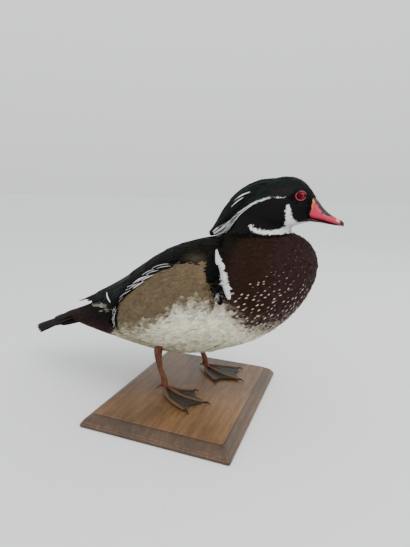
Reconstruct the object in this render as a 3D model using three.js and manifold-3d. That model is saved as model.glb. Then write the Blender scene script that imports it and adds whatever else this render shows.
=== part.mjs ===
// A mounted drake wood duck, standing on its moulded wooden board, at life size.
// Millimetres. +X is the way the bird faces, +Y is its left side, +Z is up.
// The origin is the centre of the board's underside.
import * as THREE from 'three';
import { mergeVertices } from 'three/addons/utils/BufferGeometryUtils.js';
import Module from 'manifold-3d';

const wasm = await Module();
wasm.setup();

// Driving dimensions

const gap = 0.3;             // left between pieces that touch
const board = { short: 150, long: 188, thick: 12 };
const birdPlace = new THREE.Vector3(-11, 16.5, board.thick); // where the bird's own measures start from

// The board's edge, from the underside up: how far in from the rim, and how high
const edgeProfile = [
  { inset: 0.5, height: 0 }, { inset: 0, height: 0.5 }, { inset: 0, height: 2.9 }, { inset: 0.5, height: 3.7 },
  { inset: 1.3, height: 3.9 }, { inset: 1.7, height: 4.5 }, { inset: 4.2, height: 7.4 }, { inset: 7.2, height: 9.6 },
  { inset: 9.6, height: 10.5 }, { inset: 10.2, height: 10.6 }, { inset: 10.7, height: 12 },
];

// Slices across the body, from the rump to the breast. top and low are heights above the board,
// wide is the half width and level the height where the slice is widest.
const torsoSlices = [
  { x: -158, top: 63, low: 57, wide: 7, level: 60 },
  { x: -146, top: 67, low: 53, wide: 16, level: 60 },
  { x: -128, top: 75, low: 49.5, wide: 25, level: 62 },
  { x: -106, top: 87, low: 46, wide: 34, level: 66 },
  { x: -82, top: 103, low: 43, wide: 42, level: 71 },
  { x: -58, top: 121, low: 39, wide: 49, level: 77 },
  { x: -34, top: 138, low: 35.5, wide: 54, level: 84 },
  { x: -10, top: 151, low: 34, wide: 57, level: 91 },
  { x: 14, top: 160, low: 36.5, wide: 58.5, level: 98 },
  { x: 38, top: 166, low: 43, wide: 58.5, level: 105 },
  { x: 60, top: 169, low: 51, wide: 57.5, level: 111 },
  { x: 80, top: 171, low: 61, wide: 54.5, level: 118 },
  { x: 97, top: 173, low: 73, wide: 50, level: 125 },
  { x: 111, top: 173, low: 86.5, wide: 43.5, level: 131 },
  { x: 122, top: 168, low: 101, wide: 35, level: 136 },
  { x: 129.5, top: 160, low: 115, wide: 25, level: 139 },
  { x: 134, top: 151.5, low: 127, wide: 14, level: 141 },
  { x: 135.5, top: 144.5, low: 137, wide: 4, level: 141 },
];

// Slices across the head, from the nape to the base of the bill
const headSlices = [
  { x: 47, top: 194, low: 184, wide: 4, level: 188 },
  { x: 54, top: 202, low: 176, wide: 11.5, level: 188 },
  { x: 64, top: 210.5, low: 172, wide: 17, level: 190 },
  { x: 76, top: 218.5, low: 171, wide: 20.5, level: 192 },
  { x: 88, top: 223.6, low: 172.5, wide: 21.5, level: 194 },
  { x: 99, top: 226, low: 175.5, wide: 20.5, level: 196 },
  { x: 109, top: 225.2, low: 179, wide: 18.5, level: 197 },
  { x: 117, top: 221.4, low: 182, wide: 15.8, level: 198 },
  { x: 123, top: 215, low: 184, wide: 11.8, level: 198 },
  { x: 127.5, top: 209, low: 187, wide: 7.6, level: 198 },
  { x: 130.5, top: 204.5, low: 191, wide: 3.6, level: 198 },
];

// Slices up the neck: x and z of the middle, how far it reaches forward, back and to each side
const neckSlices = [
  { x: 76, z: 150, fore: 36, back: 44, wide: 31 },
  { x: 75, z: 163, fore: 34, back: 38, wide: 27 },
  { x: 75, z: 172, fore: 32.5, back: 31, wide: 23.5 },
  { x: 76, z: 181, fore: 31, back: 25, wide: 21 },
  { x: 78, z: 192, fore: 28, back: 22, wide: 19 },
];

const eye = { x: 116.3, z: 208, side: 11.4, radius: 5, lid: 1.1 };

// The bill's upper half, from the forehead to the nail: ridge and lip heights, and the half width
const upperBillSlices = [
  { x: 120, top: 208, low: 189.5, wide: 10, round: 2 },
  { x: 126, top: 207.4, low: 188.4, wide: 9.4, round: 2 },
  { x: 131, top: 203.4, low: 187.4, wide: 8.5, round: 1.6 },
  { x: 136, top: 197.2, low: 186.4, wide: 7.5, round: 1.5 },
  { x: 141, top: 192.6, low: 185.2, wide: 6.7, round: 1.6 },
  { x: 146, top: 189.6, low: 184.1, wide: 6.2, round: 1.8 },
  { x: 150.5, top: 187.7, low: 183, wide: 5.4, round: 2 },
  { x: 153.8, top: 186.2, low: 181.6, wide: 3.6, round: 2 },
  { x: 155.4, top: 184.2, low: 181.2, wide: 1.4, round: 2 },
];
const lowerBillSlices = [
  { x: 117, top: 191, low: 185.4, wide: 7.4 },
  { x: 126, top: 189.5, low: 184.2, wide: 7.6 },
  { x: 136, top: 187.6, low: 183.2, wide: 6.2 },
  { x: 145, top: 185.6, low: 181.9, wide: 5 },
  { x: 150.5, top: 184.2, low: 181.3, wide: 3.6 },
  { x: 152.6, top: 182.8, low: 181.4, wide: 1.4 },
];
const nostril = { x: 137.5, z: 192.6, side: 5.4, long: 2.6, high: 1.2, deep: 1.6 };

// The folded wings lie on this form, which runs on past the body to the wing tips
const backSlices = [
  { x: 55, top: 170.5, wide: 60.5, high: 60 },
  { x: 30, top: 166.5, wide: 62.5, high: 62 },
  { x: 5, top: 160, wide: 63, high: 62 },
  { x: -20, top: 149.5, wide: 61, high: 58 },
  { x: -45, top: 134, wide: 57, high: 50 },
  { x: -70, top: 116.5, wide: 50, high: 41 },
  { x: -95, top: 99.5, wide: 42, high: 32 },
  { x: -120, top: 86.5, wide: 33, high: 23 },
  { x: -145, top: 77, wide: 26, high: 15 },
];

// Solids and surfaces

// A smooth value through a list of evenly spaced ones
function through(list, place) {
  const last = list.length - 1;
  const i = Math.min(Math.floor(THREE.MathUtils.clamp(place, 0, last)), last - 1);
  const t = place - i;
  const [a, b, c, d] = [list[Math.max(i - 1, 0)], list[i], list[i + 1], list[Math.min(i + 2, last)]];
  return b + 0.5 * t * (c - a + t * (2 * a - 5 * b + 4 * c - d + t * (3 * (b - c) + d - a)));
}

// One slice between the listed ones
function sliceAt(slices, place) {
  const slice = {};
  for (const key of Object.keys(slices[0])) {
    slice[key] = through(slices.map((one) => one[key]), place);
  }
  return slice;
}

// Where along the list a slice has a given x
function placeOf(slices, x) {
  let [low, high] = [0, slices.length - 1];
  const rising = slices[high].x > slices[low].x;
  for (let step = 0; step < 30; step += 1) {
    const middle = (low + high) / 2;
    if ((through(slices.map((one) => one.x), middle) < x) === rising) low = middle;
    else high = middle;
  }
  return (low + high) / 2;
}

const power = (value, round) => Math.sign(value) * Math.abs(value) ** (2 / round);

// A point on the slice: turn 0 is its top, a quarter turn its left side
function slicePoint(slice, turn, grow = 0) {
  const round = slice.round ?? 2;
  const level = slice.level ?? (slice.top + slice.low) / 2;
  const up = Math.cos(turn) > 0 ? slice.top - level + grow : level - slice.low + grow;
  const side = Math.cos(turn) > 0 ? power(Math.sin(turn), round) : Math.sin(turn);
  const rise = Math.cos(turn) > 0 ? power(Math.cos(turn), round) : Math.cos(turn);
  return new THREE.Vector3(slice.x, side * (slice.wide + grow), level + rise * up);
}

// Triangles across a closed skin of rings, with a flat cap on each end
function loft(rings) {
  const count = rings[0].length;
  const points = rings.flat();
  const faces = [];
  for (let ring = 0; ring < rings.length - 1; ring += 1) {
    for (let i = 0; i < count; i += 1) {
      const [a, b] = [ring * count + i, ring * count + ((i + 1) % count)];
      faces.push(a, b, b + count, a, b + count, a + count);
    }
  }
  const end = (rings.length - 1) * count;
  for (let i = 1; i < count - 1; i += 1) {
    faces.push(0, i + 1, i);
    faces.push(end, end + i, end + i + 1);
  }
  return geometryOf(points, faces);
}

function geometryOf(points, faces) {
  const geometry = new THREE.BufferGeometry();
  geometry.setAttribute('position', new THREE.Float32BufferAttribute(points.flatMap((p) => [p.x, p.y, p.z]), 3));
  geometry.setIndex(faces);
  return geometry;
}

// A solid with its faces turned outwards
function solidOf(source) {
  const bare = source.clone();
  bare.deleteAttribute('normal');
  bare.deleteAttribute('uv');
  const merged = mergeVertices(bare, 1e-4);
  const vertProperties = new Float32Array(merged.attributes.position.array);
  const triVerts = new Uint32Array(merged.index.array);
  const corner = (i) => new THREE.Vector3().fromArray(vertProperties, triVerts[i] * 3);
  let volume = 0;
  for (let i = 0; i < triVerts.length; i += 3) {
    volume += corner(i).dot(corner(i + 1).cross(corner(i + 2)));
  }
  if (volume < 0) {
    for (let i = 0; i < triVerts.length; i += 3) {
      [triVerts[i + 1], triVerts[i + 2]] = [triVerts[i + 2], triVerts[i + 1]];
    }
  }
  return new wasm.Manifold(new wasm.Mesh({ numProp: 3, vertProperties, triVerts }));
}

const fuse = (solids) => solids.reduce((whole, solid) => whole.add(solid));

// The piece of a solid that holds the most, as a geometry
function largest(solid) {
  const pieces = solid.decompose();
  const main = pieces.reduce((best, piece) => (piece.volume() > best.volume() ? piece : best));
  const mesh = main.getMesh();
  const geometry = new THREE.BufferGeometry();
  geometry.setAttribute('position', new THREE.BufferAttribute(new Float32Array(mesh.vertProperties), 3));
  geometry.setIndex(Array.from(mesh.triVerts));
  return geometry;
}

// A body from slices across X. between is how many rings each step takes, sides how many corners.
function slicedSolid(slices, sides, between, grow = 0) {
  const rings = [];
  const steps = Math.round((slices.length - 1) * between);
  for (let step = 0; step <= steps; step += 1) {
    const slice = sliceAt(slices, (step / steps) * (slices.length - 1));
    if (step === 0) slice.x -= grow;
    if (step === steps) slice.x += grow;
    const ring = [];
    for (let i = 0; i < sides; i += 1) ring.push(slicePoint(slice, (i / sides) * 2 * Math.PI, grow));
    rings.push(ring);
  }
  return solidOf(loft(rings));
}

// A tube whose radius changes along a curve. level is a direction that the curve never follows.
function taperedTube(curve, radiusAt, steps, sides, level = new THREE.Vector3(0, 0, 1)) {
  const rings = [];
  for (let step = 0; step <= steps; step += 1) {
    const t = step / steps;
    const middle = curve.getPoint(t);
    const along = curve.getTangent(t);
    const across = level.clone().cross(along).normalize();
    const up = along.clone().cross(across).normalize();
    const ring = [];
    for (let i = 0; i < sides; i += 1) {
      const turn = (i / sides) * 2 * Math.PI;
      ring.push(middle.clone()
        .addScaledVector(across, Math.sin(turn) * radiusAt(t))
        .addScaledVector(up, Math.cos(turn) * radiusAt(t)));
    }
    rings.push(ring);
  }
  return solidOf(loft(rings));
}

// A plate between two surfaces that share their corners' numbering
function plateSolid(outer, inner, uSteps, vSteps) {
  const rings = [];
  for (let u = 0; u <= uSteps; u += 1) {
    const ring = [];
    for (let v = 0; v <= vSteps; v += 1) ring.push(outer(u / uSteps, v / vSteps));
    for (let v = vSteps; v >= 0; v -= 1) ring.push(inner(u / uSteps, v / vSteps));
    rings.push(ring);
  }
  return stripSolid(rings);
}

// A feather as a thin curved plate. at(t) and out(t) give its middle line and outward direction,
// wide is its largest half width, and both faces are split alike.
function vane({ at, out, wide, thick = 0.9, steps = 3, rootShare = 0.5, roll = 0 }) {
  const rings = [];
  for (let step = 0; step <= steps; step += 1) {
    const t = 1 - (1 - step / steps) ** 1.35;
    const along = at(Math.min(1, t + 0.02)).sub(at(Math.max(0, t - 0.02))).normalize();
    const up = out(t).clone().addScaledVector(along, -out(t).dot(along)).normalize();
    up.applyAxisAngle(along, roll);
    const across = up.clone().cross(along);
    const share = t < 0.55 ? THREE.MathUtils.lerp(rootShare, 1, Math.sin((t / 0.55) * Math.PI / 2))
      : Math.sqrt(Math.max(0.08, 1 - ((t - 0.55) / 0.46) ** 2));
    const half = wide * share;
    const high = (thick / 2) * (1 - 0.35 * t);
    const point = (side, rise) => at(t).addScaledVector(across, side * half).addScaledVector(up, rise * high);
    rings.push([point(-1, 1), point(1, 1), point(1, -1), point(-1, -1)]);
  }
  return stripSolid(rings);
}

// Closes rings whose first half runs along the outer face and second half back along the inner one
function stripSolid(rings) {
  const count = rings[0].length;
  const across = count / 2 - 1;
  const faces = [];
  for (let ring = 0; ring < rings.length - 1; ring += 1) {
    for (let i = 0; i < count; i += 1) {
      const [a, b] = [ring * count + i, ring * count + ((i + 1) % count)];
      if (i > across) faces.push(a, b, a + count, b, b + count, a + count);
      else faces.push(a, b, b + count, a, b + count, a + count);
    }
  }
  const end = (rings.length - 1) * count;
  for (let i = 0; i < across; i += 1) {
    const [a, b, c, d] = [i, i + 1, count - 2 - i, count - 1 - i];
    faces.push(a, c, b, a, d, c);
    faces.push(end + a, end + b, end + c, end + a, end + c, end + d);
  }
  return solidOf(geometryOf(rings.flat(), faces));
}

// Repeatable scatter between -1 and 1
const scatter = (seed) => {
  const wave = Math.sin(seed * 12.9898 + 4.1414) * 43758.5453;
  return (wave - Math.floor(wave)) * 2 - 1;
};

// The board

function boardSolid() {
  const ring = ({ inset, height }) => [[1, 1], [-1, 1], [-1, -1], [1, -1]].map(([sx, sy]) => (
    new THREE.Vector3(sx * (board.short / 2 - inset), sy * (board.long / 2 - inset), height)));
  return solidOf(loft(edgeProfile.map(ring)));
}

// The body

const torsoSolid = (grow = 0) => slicedSolid(torsoSlices, 26, 1.2, grow);
const headForm = (grow = 0) => slicedSolid(headSlices, 22, 1.2, grow);

function neckForm(grow) {
  const rings = [];
  for (let step = 0; step <= 3; step += 1) {
    const slice = sliceAt(neckSlices, (step / 3) * (neckSlices.length - 1));
    const ring = [];
    for (let i = 0; i < 24; i += 1) {
      const turn = (i / 24) * 2 * Math.PI;
      const reach = (Math.cos(turn) > 0 ? slice.fore : slice.back) + grow;
      ring.push(new THREE.Vector3(
        slice.x + Math.cos(turn) * reach,
        Math.sin(turn) * (slice.wide + grow),
        slice.z,
      ));
    }
    rings.push(ring);
  }
  return solidOf(loft(rings));
}

const neckSolid = () => neckForm(0).subtract(torsoSolid(gap)).subtract(headForm(gap));

// The head

function ball(radius, x, y, z, wide = 14, high = 10) {
  const geometry = new THREE.SphereGeometry(radius, wide, high);
  geometry.rotateX(Math.PI / 2);
  geometry.translate(x, y, z);
  return solidOf(geometry);
}

function headSolid() {
  let head = headForm();
  for (const side of [-1, 1]) {
    const lid = new THREE.TorusGeometry(eye.radius * 0.95, eye.lid, 5, 14);
    lid.scale(1.04, 0.96, 1.3);
    lid.rotateX(Math.PI / 2);
    lid.rotateZ(side * -0.16);
    lid.translate(eye.x, side * (eye.side + 2.4), eye.z);
    head = head.add(solidOf(lid));
  }
  for (const side of [-1, 1]) {
    head = head.subtract(ball(eye.radius + gap, eye.x, side * eye.side, eye.z, 12, 7));
  }
  return head;
}

// The bill

function upperBillSolid(grow = 0) {
  let bill = slicedSolid(upperBillSlices, 14, 1.25, grow);
  if (grow > 0) return bill;
  bill = bill.subtract(headForm(gap));
  for (const side of [-1, 1]) {
    const hole = new THREE.SphereGeometry(1, 8, 6);
    hole.scale(nostril.long, nostril.deep, nostril.high);
    hole.rotateY(0.5);
    hole.translate(nostril.x, side * nostril.side, nostril.z);
    bill = bill.subtract(solidOf(hole));
  }
  return bill;
}

const lowerBillSolid = () => slicedSolid(lowerBillSlices, 10, 1.2)
  .subtract(upperBillSolid(gap))
  .subtract(headForm(gap));

// The crest: a core from the crown down the nape, under long feathers in tiers that end in a ragged tip.
// start and end are shares of the crest's length, turns the spread round its sides.
const crestSlices = [
  { x: 92, z: 211, radius: 11.2 }, { x: 76, z: 206.5, radius: 12.6 }, { x: 62, z: 199, radius: 12.4 },
  { x: 50, z: 188.5, radius: 10.6 }, { x: 40, z: 178.5, radius: 7.8 }, { x: 31, z: 170.5, radius: 4.2 },
  { x: 25, z: 166.8, radius: 1.6 },
];
const crestTiers = [
  { count: 5, turns: 1.6, start: 0.1, end: 0.6, wide: 3.8 },
  { count: 5, turns: 1.8, start: 0.3, end: 0.84, wide: 3.2 },
  { count: 4, turns: 1.6, start: 0.52, end: 1, wide: 2.4 },
];

function crestSolid() {
  const path = new THREE.CatmullRomCurve3(crestSlices.map(({ x, z }) => new THREE.Vector3(x, 0, z)));
  const radii = crestSlices.map((slice) => slice.radius);
  const radius = (t) => through(radii, t * (radii.length - 1));
  const outward = (t, turn) => {
    const along = path.getTangent(Math.min(1, t));
    const up = new THREE.Vector3(0, 1, 0).cross(along).multiplyScalar(-1);
    return up.multiplyScalar(Math.cos(turn)).add(new THREE.Vector3(0, Math.sin(turn), 0));
  };
  const pieces = [taperedTube(path, (t) => radius(t) * (t > 0.85 ? 0.55 : 0.88), 8, 10)];
  crestTiers.forEach(({ count, turns, start, end, wide }, tier) => {
    for (let i = 0; i < count; i += 1) {
      const turn = turns * ((i * 2) / (count - 1) - 1);
      const stop = end + 0.03 * scatter(tier * 10 + i) - 0.05 * Math.abs(turn / turns);
      const place = (t) => THREE.MathUtils.lerp(start, stop, t);
      const lift = (t) => THREE.MathUtils.lerp(-1.6, 0.5 + 0.25 * scatter(i + tier * 7), t ** 0.6);
      pieces.push(vane({
        at: (t) => path.getPoint(place(t)).addScaledVector(outward(place(t), turn), radius(place(t)) + lift(t)),
        out: (t) => outward(place(t), turn),
        wide,
      }));
    }
  });
  return fuse(pieces)
    .subtract(headForm(gap))
    .subtract(torsoSolid(gap))
    .subtract(neckForm(gap));
}

// The wings. Each tier lists its feathers from the back's middle to the wing's lower edge:
// x of the first and last root, their turns round the back, and the feathers' length and half width.
const wing = { front: 42, rear: -104, thick: 6, upper: 0.12, lower: 1.42 };
const wingTiers = [
  { count: 5, x: [-62, -66], turns: [0.2, 0.95], long: [78, 52], wide: [6, 5.4], lift: [-2.2, -1.1], drift: -0.06 },
  { count: 4, x: [-46, -44], turns: [0.75, 1.3], long: [50, 36], wide: [8.6, 8], lift: [-1.4, 0.1], drift: 0 },
  { count: 4, x: [-30, -26], turns: [0.24, 0.66], long: [86, 70], wide: [8, 8.6], lift: [-1.4, 0.3], drift: 0.02 },
  { count: 5, x: [-18, -14], turns: [0.2, 1.25], long: [44, 36], wide: [8.6, 8], lift: [-1.2, 0.9], drift: 0.02 },
  { count: 5, x: [4, 2], turns: [0.26, 1.22], long: [36, 30], wide: [9.2, 8], lift: [-1.2, 1.1], drift: 0.02 },
  { count: 5, x: [24, 18], turns: [0.32, 1.16], long: [32, 26], wide: [9, 8], lift: [-1.2, 1.2], drift: 0 },
  { count: 4, x: [38, 34], turns: [0.4, 1.05], long: [26, 24], wide: [8, 7], lift: [-1.4, 1.3], drift: 0 },
];

function backPoint(x, turn, lift) {
  const slice = sliceAt(backSlices, placeOf(backSlices, x));
  return new THREE.Vector3(
    x,
    Math.sin(turn) * (slice.wide + lift),
    slice.top - slice.high + Math.cos(turn) * (slice.high + lift),
  );
}

function wingSolid(side) {
  const surface = (inner) => (u, v) => {
    const x = THREE.MathUtils.lerp(wing.front, wing.rear, u);
    const upper = THREE.MathUtils.lerp(0.5, wing.upper, Math.min(1, u * 3));
    const lower = wing.lower - 0.35 * u * u;
    const thin = wing.thick * (1 - 0.7 * u * u);
    return backPoint(x, side * THREE.MathUtils.lerp(upper, lower, v), inner ? -thin - 0.8 : -0.8);
  };
  const pieces = [plateSolid(surface(false), surface(true), 9, 5)];
  wingTiers.forEach(({ count, x, turns, long, wide, lift, drift }, tier) => {
    for (let i = 0; i < count; i += 1) {
      const share = i / (count - 1);
      const mix = (pair) => THREE.MathUtils.lerp(pair[0], pair[1], share);
      const root = mix(x) + 1.5 * scatter(tier * 20 + i);
      const reach = mix(long) + 2 * scatter(tier * 20 + i + 9);
      const turn = (t) => side * (mix(turns) + drift * t);
      const height = (t) => THREE.MathUtils.lerp(lift[0], lift[1], t ** 0.7);
      const at = (t) => backPoint(root - reach * t, turn(t), height(t));
      pieces.push(vane({
        at,
        out: (t) => backPoint(root - reach * t, turn(t), height(t) + 1).sub(at(t)),
        wide: mix(wide),
        steps: reach > 60 ? 3 : 2,
        roll: side * -0.06,
      }));
    }
  });
  const otherSide = new THREE.BoxGeometry(500, 200, 300);
  otherSide.translate(0, -side * (100 - gap), 150);
  return fuse(pieces)
    .subtract(torsoSolid(gap))
    .subtract(flankSolid(side, gap + 0.1))
    .subtract(tailRoot(gap))
    .subtract(solidOf(otherSide));
}

// The tail: a short core that carries the tail feathers, laid as an arched fan with its middle pair
// on top, and coverts above and below
const tail = { root: -138, tip: -207, spread: 2.9, rootTop: 68, tipTop: 38, arch: 0.11 };
const tailTiers = [
  { count: 10, from: 0.06, to: 1, lift: [-2, 0], wide: 8, spread: 1.2 },
  { count: 6, from: -0.1, to: 0.6, lift: [0, 1.6], wide: 7.6, spread: 1.5 },
  { count: 6, from: -0.12, to: 0.62, lift: [-9.5, -3], wide: 7, spread: 1.5 },
];

const tailPoint = (place, across, lift) => new THREE.Vector3(
  THREE.MathUtils.lerp(tail.root, tail.tip + 0.42 * across ** 2 * place, place),
  across * THREE.MathUtils.lerp(2.2, tail.spread, place),
  THREE.MathUtils.lerp(tail.rootTop, tail.tipTop, place) - tail.arch * across ** 2 + lift,
);

function tailRoot(grow = 0) {
  const surface = (lower) => (u, v) => {
    const across = (v * 2 - 1) * 6.2;
    const deep = THREE.MathUtils.lerp(13, 1, Math.min(1, u)) * (1 - 0.55 * (v * 2 - 1) ** 2);
    return tailPoint(THREE.MathUtils.lerp(-0.2, 0.5, u), across, lower ? -1.5 - deep - grow : grow - 0.5);
  };
  return plateSolid(surface(false), surface(true), 4, 6);
}

function tailSolid() {
  const pieces = [tailRoot()];
  tailTiers.forEach(({ count, from, to, lift, wide, spread }, tier) => {
    for (let i = 0; i < count; i += 1) {
      const across = (i - (count - 1) / 2) * spread;
      const reach = to + 0.012 * scatter(tier * 30 + i);
      const place = (t) => THREE.MathUtils.lerp(from, reach, t);
      const stack = -0.12 * Math.abs(across);
      const at = (t) => tailPoint(place(t), across, THREE.MathUtils.lerp(lift[0], lift[1], t) + stack * t);
      pieces.push(vane({
        at,
        out: () => new THREE.Vector3(0.4, 0.045 * across, 1),
        wide,
        steps: 3,
      }));
    }
  });
  return fuse(pieces).subtract(torsoSolid(gap));
}

// The flanks: a pad of plumage over the wing's lower edge, listed from front to rear.
// upper and lower are the heights of its edges.
const flankSlices = [
  { x: 52, upper: 156, lower: 66 }, { x: 36, upper: 147, lower: 60 }, { x: 18, upper: 143.5, lower: 57 },
  { x: 0, upper: 141, lower: 56 }, { x: -16, upper: 133.5, lower: 56 }, { x: -32, upper: 122, lower: 57 },
  { x: -48, upper: 109, lower: 59 }, { x: -62, upper: 88, lower: 63 },
];

// The turn on the torso at which its left side has a given height
function turnAtHeight(slice, z) {
  if (z > slice.level) return Math.acos(THREE.MathUtils.clamp((z - slice.level) / (slice.top - slice.level), -1, 1));
  return Math.PI - Math.acos(THREE.MathUtils.clamp((slice.level - z) / (slice.level - slice.low), -1, 1));
}

// A point on the body's side by its x and height
function sidePoint(x, z, lift, side) {
  const slice = sliceAt(torsoSlices, placeOf(torsoSlices, x));
  return slicePoint(slice, side * turnAtHeight(slice, z), lift);
}

// Barred plumes run along the pad's upper and rear edge, and two dark bars and a white one down its front.
// Each feather lists its points on the body's side.
const flankEdge = [[10, 142], [-8, 136], [-22, 127], [-36, 116], [-48, 104], [-58, 89], [-63, 73]];
const flankPlume = { count: 7, long: 1.7, inset: [9, -1.5], wide: 4.4, lift: [4.2, 6.4] };
const shoulderBars = [
  { points: [[46, 158], [51, 140], [60, 114]], wide: 4, lift: [3, 5.6] },
  { points: [[40, 155], [43, 134], [53, 109]], wide: 5, lift: [3.4, 6.6] },
  { points: [[34, 149], [36, 130], [45, 109]], wide: 5, lift: [3.6, 7.2] },
];

function flankVanes(side, grow) {
  const edge = new THREE.CatmullRomCurve3(flankEdge.map(([x, z]) => new THREE.Vector3(x, 0, z)));
  const lines = shoulderBars.map(({ points, wide, lift }) => {
    const line = new THREE.CatmullRomCurve3(points.map(([x, z]) => new THREE.Vector3(x, 0, z)));
    return { line: (t) => line.getPoint(t), wide, lift };
  });
  for (let i = 0; i < flankPlume.count; i += 1) {
    const start = (i / (flankPlume.count - 1)) * 0.7;
    const line = (t) => {
      const place = start + t * 0.3;
      const inset = THREE.MathUtils.lerp(flankPlume.inset[0], flankPlume.inset[1], t);
      const inward = edge.getTangent(place).cross(new THREE.Vector3(0, 1, 0));
      return edge.getPoint(place).addScaledVector(inward, inset);
    };
    lines.push({ line, wide: flankPlume.wide, lift: flankPlume.lift });
  }
  return lines.map(({ line, wide, lift }) => {
    const height = (t) => THREE.MathUtils.lerp(lift[0], lift[1], t);
    const at = (t) => sidePoint(line(t).x, line(t).z, height(t), side);
    return vane({
      at,
      out: (t) => sidePoint(line(t).x, line(t).z, height(t) + 1, side).sub(at(t)),
      wide: wide + grow,
      thick: 1 + grow * 2.4,
      steps: 3,
    });
  });
}

function flankSolid(side, grow = 0) {
  const surface = (outer) => (u, v) => {
    const edge = sliceAt(flankSlices, u * (flankSlices.length - 1));
    const slice = sliceAt(torsoSlices, placeOf(torsoSlices, edge.x));
    const turn = THREE.MathUtils.lerp(turnAtHeight(slice, edge.upper + grow), turnAtHeight(slice, edge.lower), v);
    const swell = (Math.sin(Math.PI * (0.06 + u * 0.9)) * Math.sin(Math.PI * (0.12 + v * 0.86))) ** 0.5;
    return slicePoint(slice, side * turn, outer ? 1.6 + 5.2 * swell + grow : -1);
  };
  const pad = plateSolid(surface(true), surface(false), 9, 6);
  return fuse([pad, ...flankVanes(side, grow)]).subtract(torsoSolid(grow > 0 ? 0 : gap));
}

// The legs

const legs = {
  right: {
    side: -1,
    ankle: new THREE.Vector3(-18, -35, 46),
    joint: new THREE.Vector3(-11.5, -34, 8),
    toes: [
      { name: 'inner', x: 20.5, y: -25, via: [6.5, -31.5], thick: 2.2 },
      { name: 'middle', x: 41, y: -45, via: [15, -43.5], thick: 2.4 },
      { name: 'outer', x: 28, y: -67.5, via: [3, -54], thick: 2.3 },
    ],
  },
  left: {
    side: 1,
    ankle: new THREE.Vector3(1, 35, 46),
    joint: new THREE.Vector3(10, 33, 8),
    toes: [
      { name: 'inner', x: 33, y: 4, via: [17, 20], thick: 2.2 },
      { name: 'middle', x: 58.5, y: 17.5, via: [36, 21.5], thick: 2.4 },
      { name: 'outer', x: 49.5, y: 47, via: [30, 42], thick: 2.3 },
    ],
  },
};

function legSolid({ ankle, joint }) {
  const shin = new THREE.CatmullRomCurve3([
    joint.clone().add(new THREE.Vector3(0, 0, 2)),
    joint.clone().lerp(ankle, 0.5).add(new THREE.Vector3(-1.5, 0, 0)),
    ankle.clone(),
    ankle.clone().add(new THREE.Vector3(9, 0, 14)),
  ]);
  const radius = (t) => 2.9 + 2.1 * Math.exp(-(((t - 0.72) / 0.16) ** 2)) + 0.8 * Math.max(0, 0.15 - t) * 6;
  return taperedTube(shin, radius, 12, 10, new THREE.Vector3(1, 0.2, 0)).subtract(torsoSolid(gap));
}

function footSolid({ joint, toes, side }) {
  const pieces = [ball(4, joint.x, joint.y, joint.z - 2.4, 8, 6)];
  const rays = toes.map(({ x, y, via, thick }) => {
    const tip = new THREE.Vector3(x, y, thick * 0.7 + gap);
    const curve = new THREE.CatmullRomCurve3([
      new THREE.Vector3(joint.x, joint.y, joint.z - 2),
      new THREE.Vector3(via[0], via[1], thick + 1.2),
      tip,
    ]);
    return { curve, thick };
  });
  for (const { curve, thick } of rays) {
    pieces.push(taperedTube(curve, (t) => thick * (1 - 0.35 * t) * (t > 0.95 ? 0.6 : 1), 5, 6));
  }
  for (let i = 0; i < 2; i += 1) {
    const [one, two] = [rays[i].curve, rays[i + 1].curve];
    const surface = (lift) => (u, v) => {
      const reach = u * (0.9 - 0.22 * Math.sin(Math.PI * v));
      return one.getPoint(reach).lerp(two.getPoint(reach), v).add(new THREE.Vector3(0, 0, lift - 0.4 * Math.sin(Math.PI * v)));
    };
    pieces.push(plateSolid(surface(0.5), surface(-0.5), 5, 3));
  }
  const heel = new THREE.CatmullRomCurve3([
    new THREE.Vector3(joint.x, joint.y, joint.z - 1),
    new THREE.Vector3(joint.x - 6, joint.y + side * -2, joint.z - 2),
    new THREE.Vector3(joint.x - 10, joint.y + side * -4, joint.z - 4.5),
  ]);
  pieces.push(taperedTube(heel, (t) => 1.7 - 0.9 * t, 5, 6));
  const floor = new THREE.BoxGeometry(200, 200, 10);
  floor.translate(joint.x, joint.y, gap - 5);
  return fuse(pieces).subtract(solidOf(floor));
}

// The scene graph

const finish = (color, roughness, metalness = 0) => new THREE.MeshStandardMaterial({ color, roughness, metalness });

const group = new THREE.Group();
const bird = new THREE.Group();
bird.position.copy(birdPlace);
group.add(bird);

function place(parent, name, solid, material) {
  const mesh = new THREE.Mesh(largest(solid), material);
  mesh.name = name;
  parent.add(mesh);
}

place(group, 'base_board', boardSolid(), finish(0x7a5640, 0.55));
place(bird, 'torso', torsoSolid(), finish(0x4a2a26, 0.75));
place(bird, 'neck', neckSolid(), finish(0x15130f, 0.7));
place(bird, 'head', headSolid(), finish(0x101a17, 0.5));
place(bird, 'bill_upper', upperBillSolid(), finish(0xd6404f, 0.35));
place(bird, 'bill_lower', lowerBillSolid(), finish(0x2a2224, 0.4));
place(bird, 'crest', crestSolid(), finish(0x16302a, 0.45));
place(bird, 'tail', tailSolid(), finish(0x1c1a19, 0.6));
for (const [name, leg] of Object.entries(legs)) {
  const { side } = leg;
  place(bird, `eye_${name}`, ball(eye.radius, eye.x, side * eye.side, eye.z, 12, 7), finish(0xb03040, 0.08));
  place(bird, `wing_${name}`, wingSolid(side), finish(0x141716, 0.5));
  place(bird, `flank_${name}`, flankSolid(side), finish(0x9a8464, 0.8));
  place(bird, `leg_${name}`, legSolid(leg).subtract(footSolid(leg)).subtract(flankSolid(side, gap)), finish(0xa5562c, 0.5));
  place(bird, `foot_${name}`, footSolid(leg), finish(0x54493a, 0.55));
}

export default group;
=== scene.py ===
import math

import bpy
import numpy as np
from mathutils import Matrix, Vector
from mathutils.bvhtree import BVHTree


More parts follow.
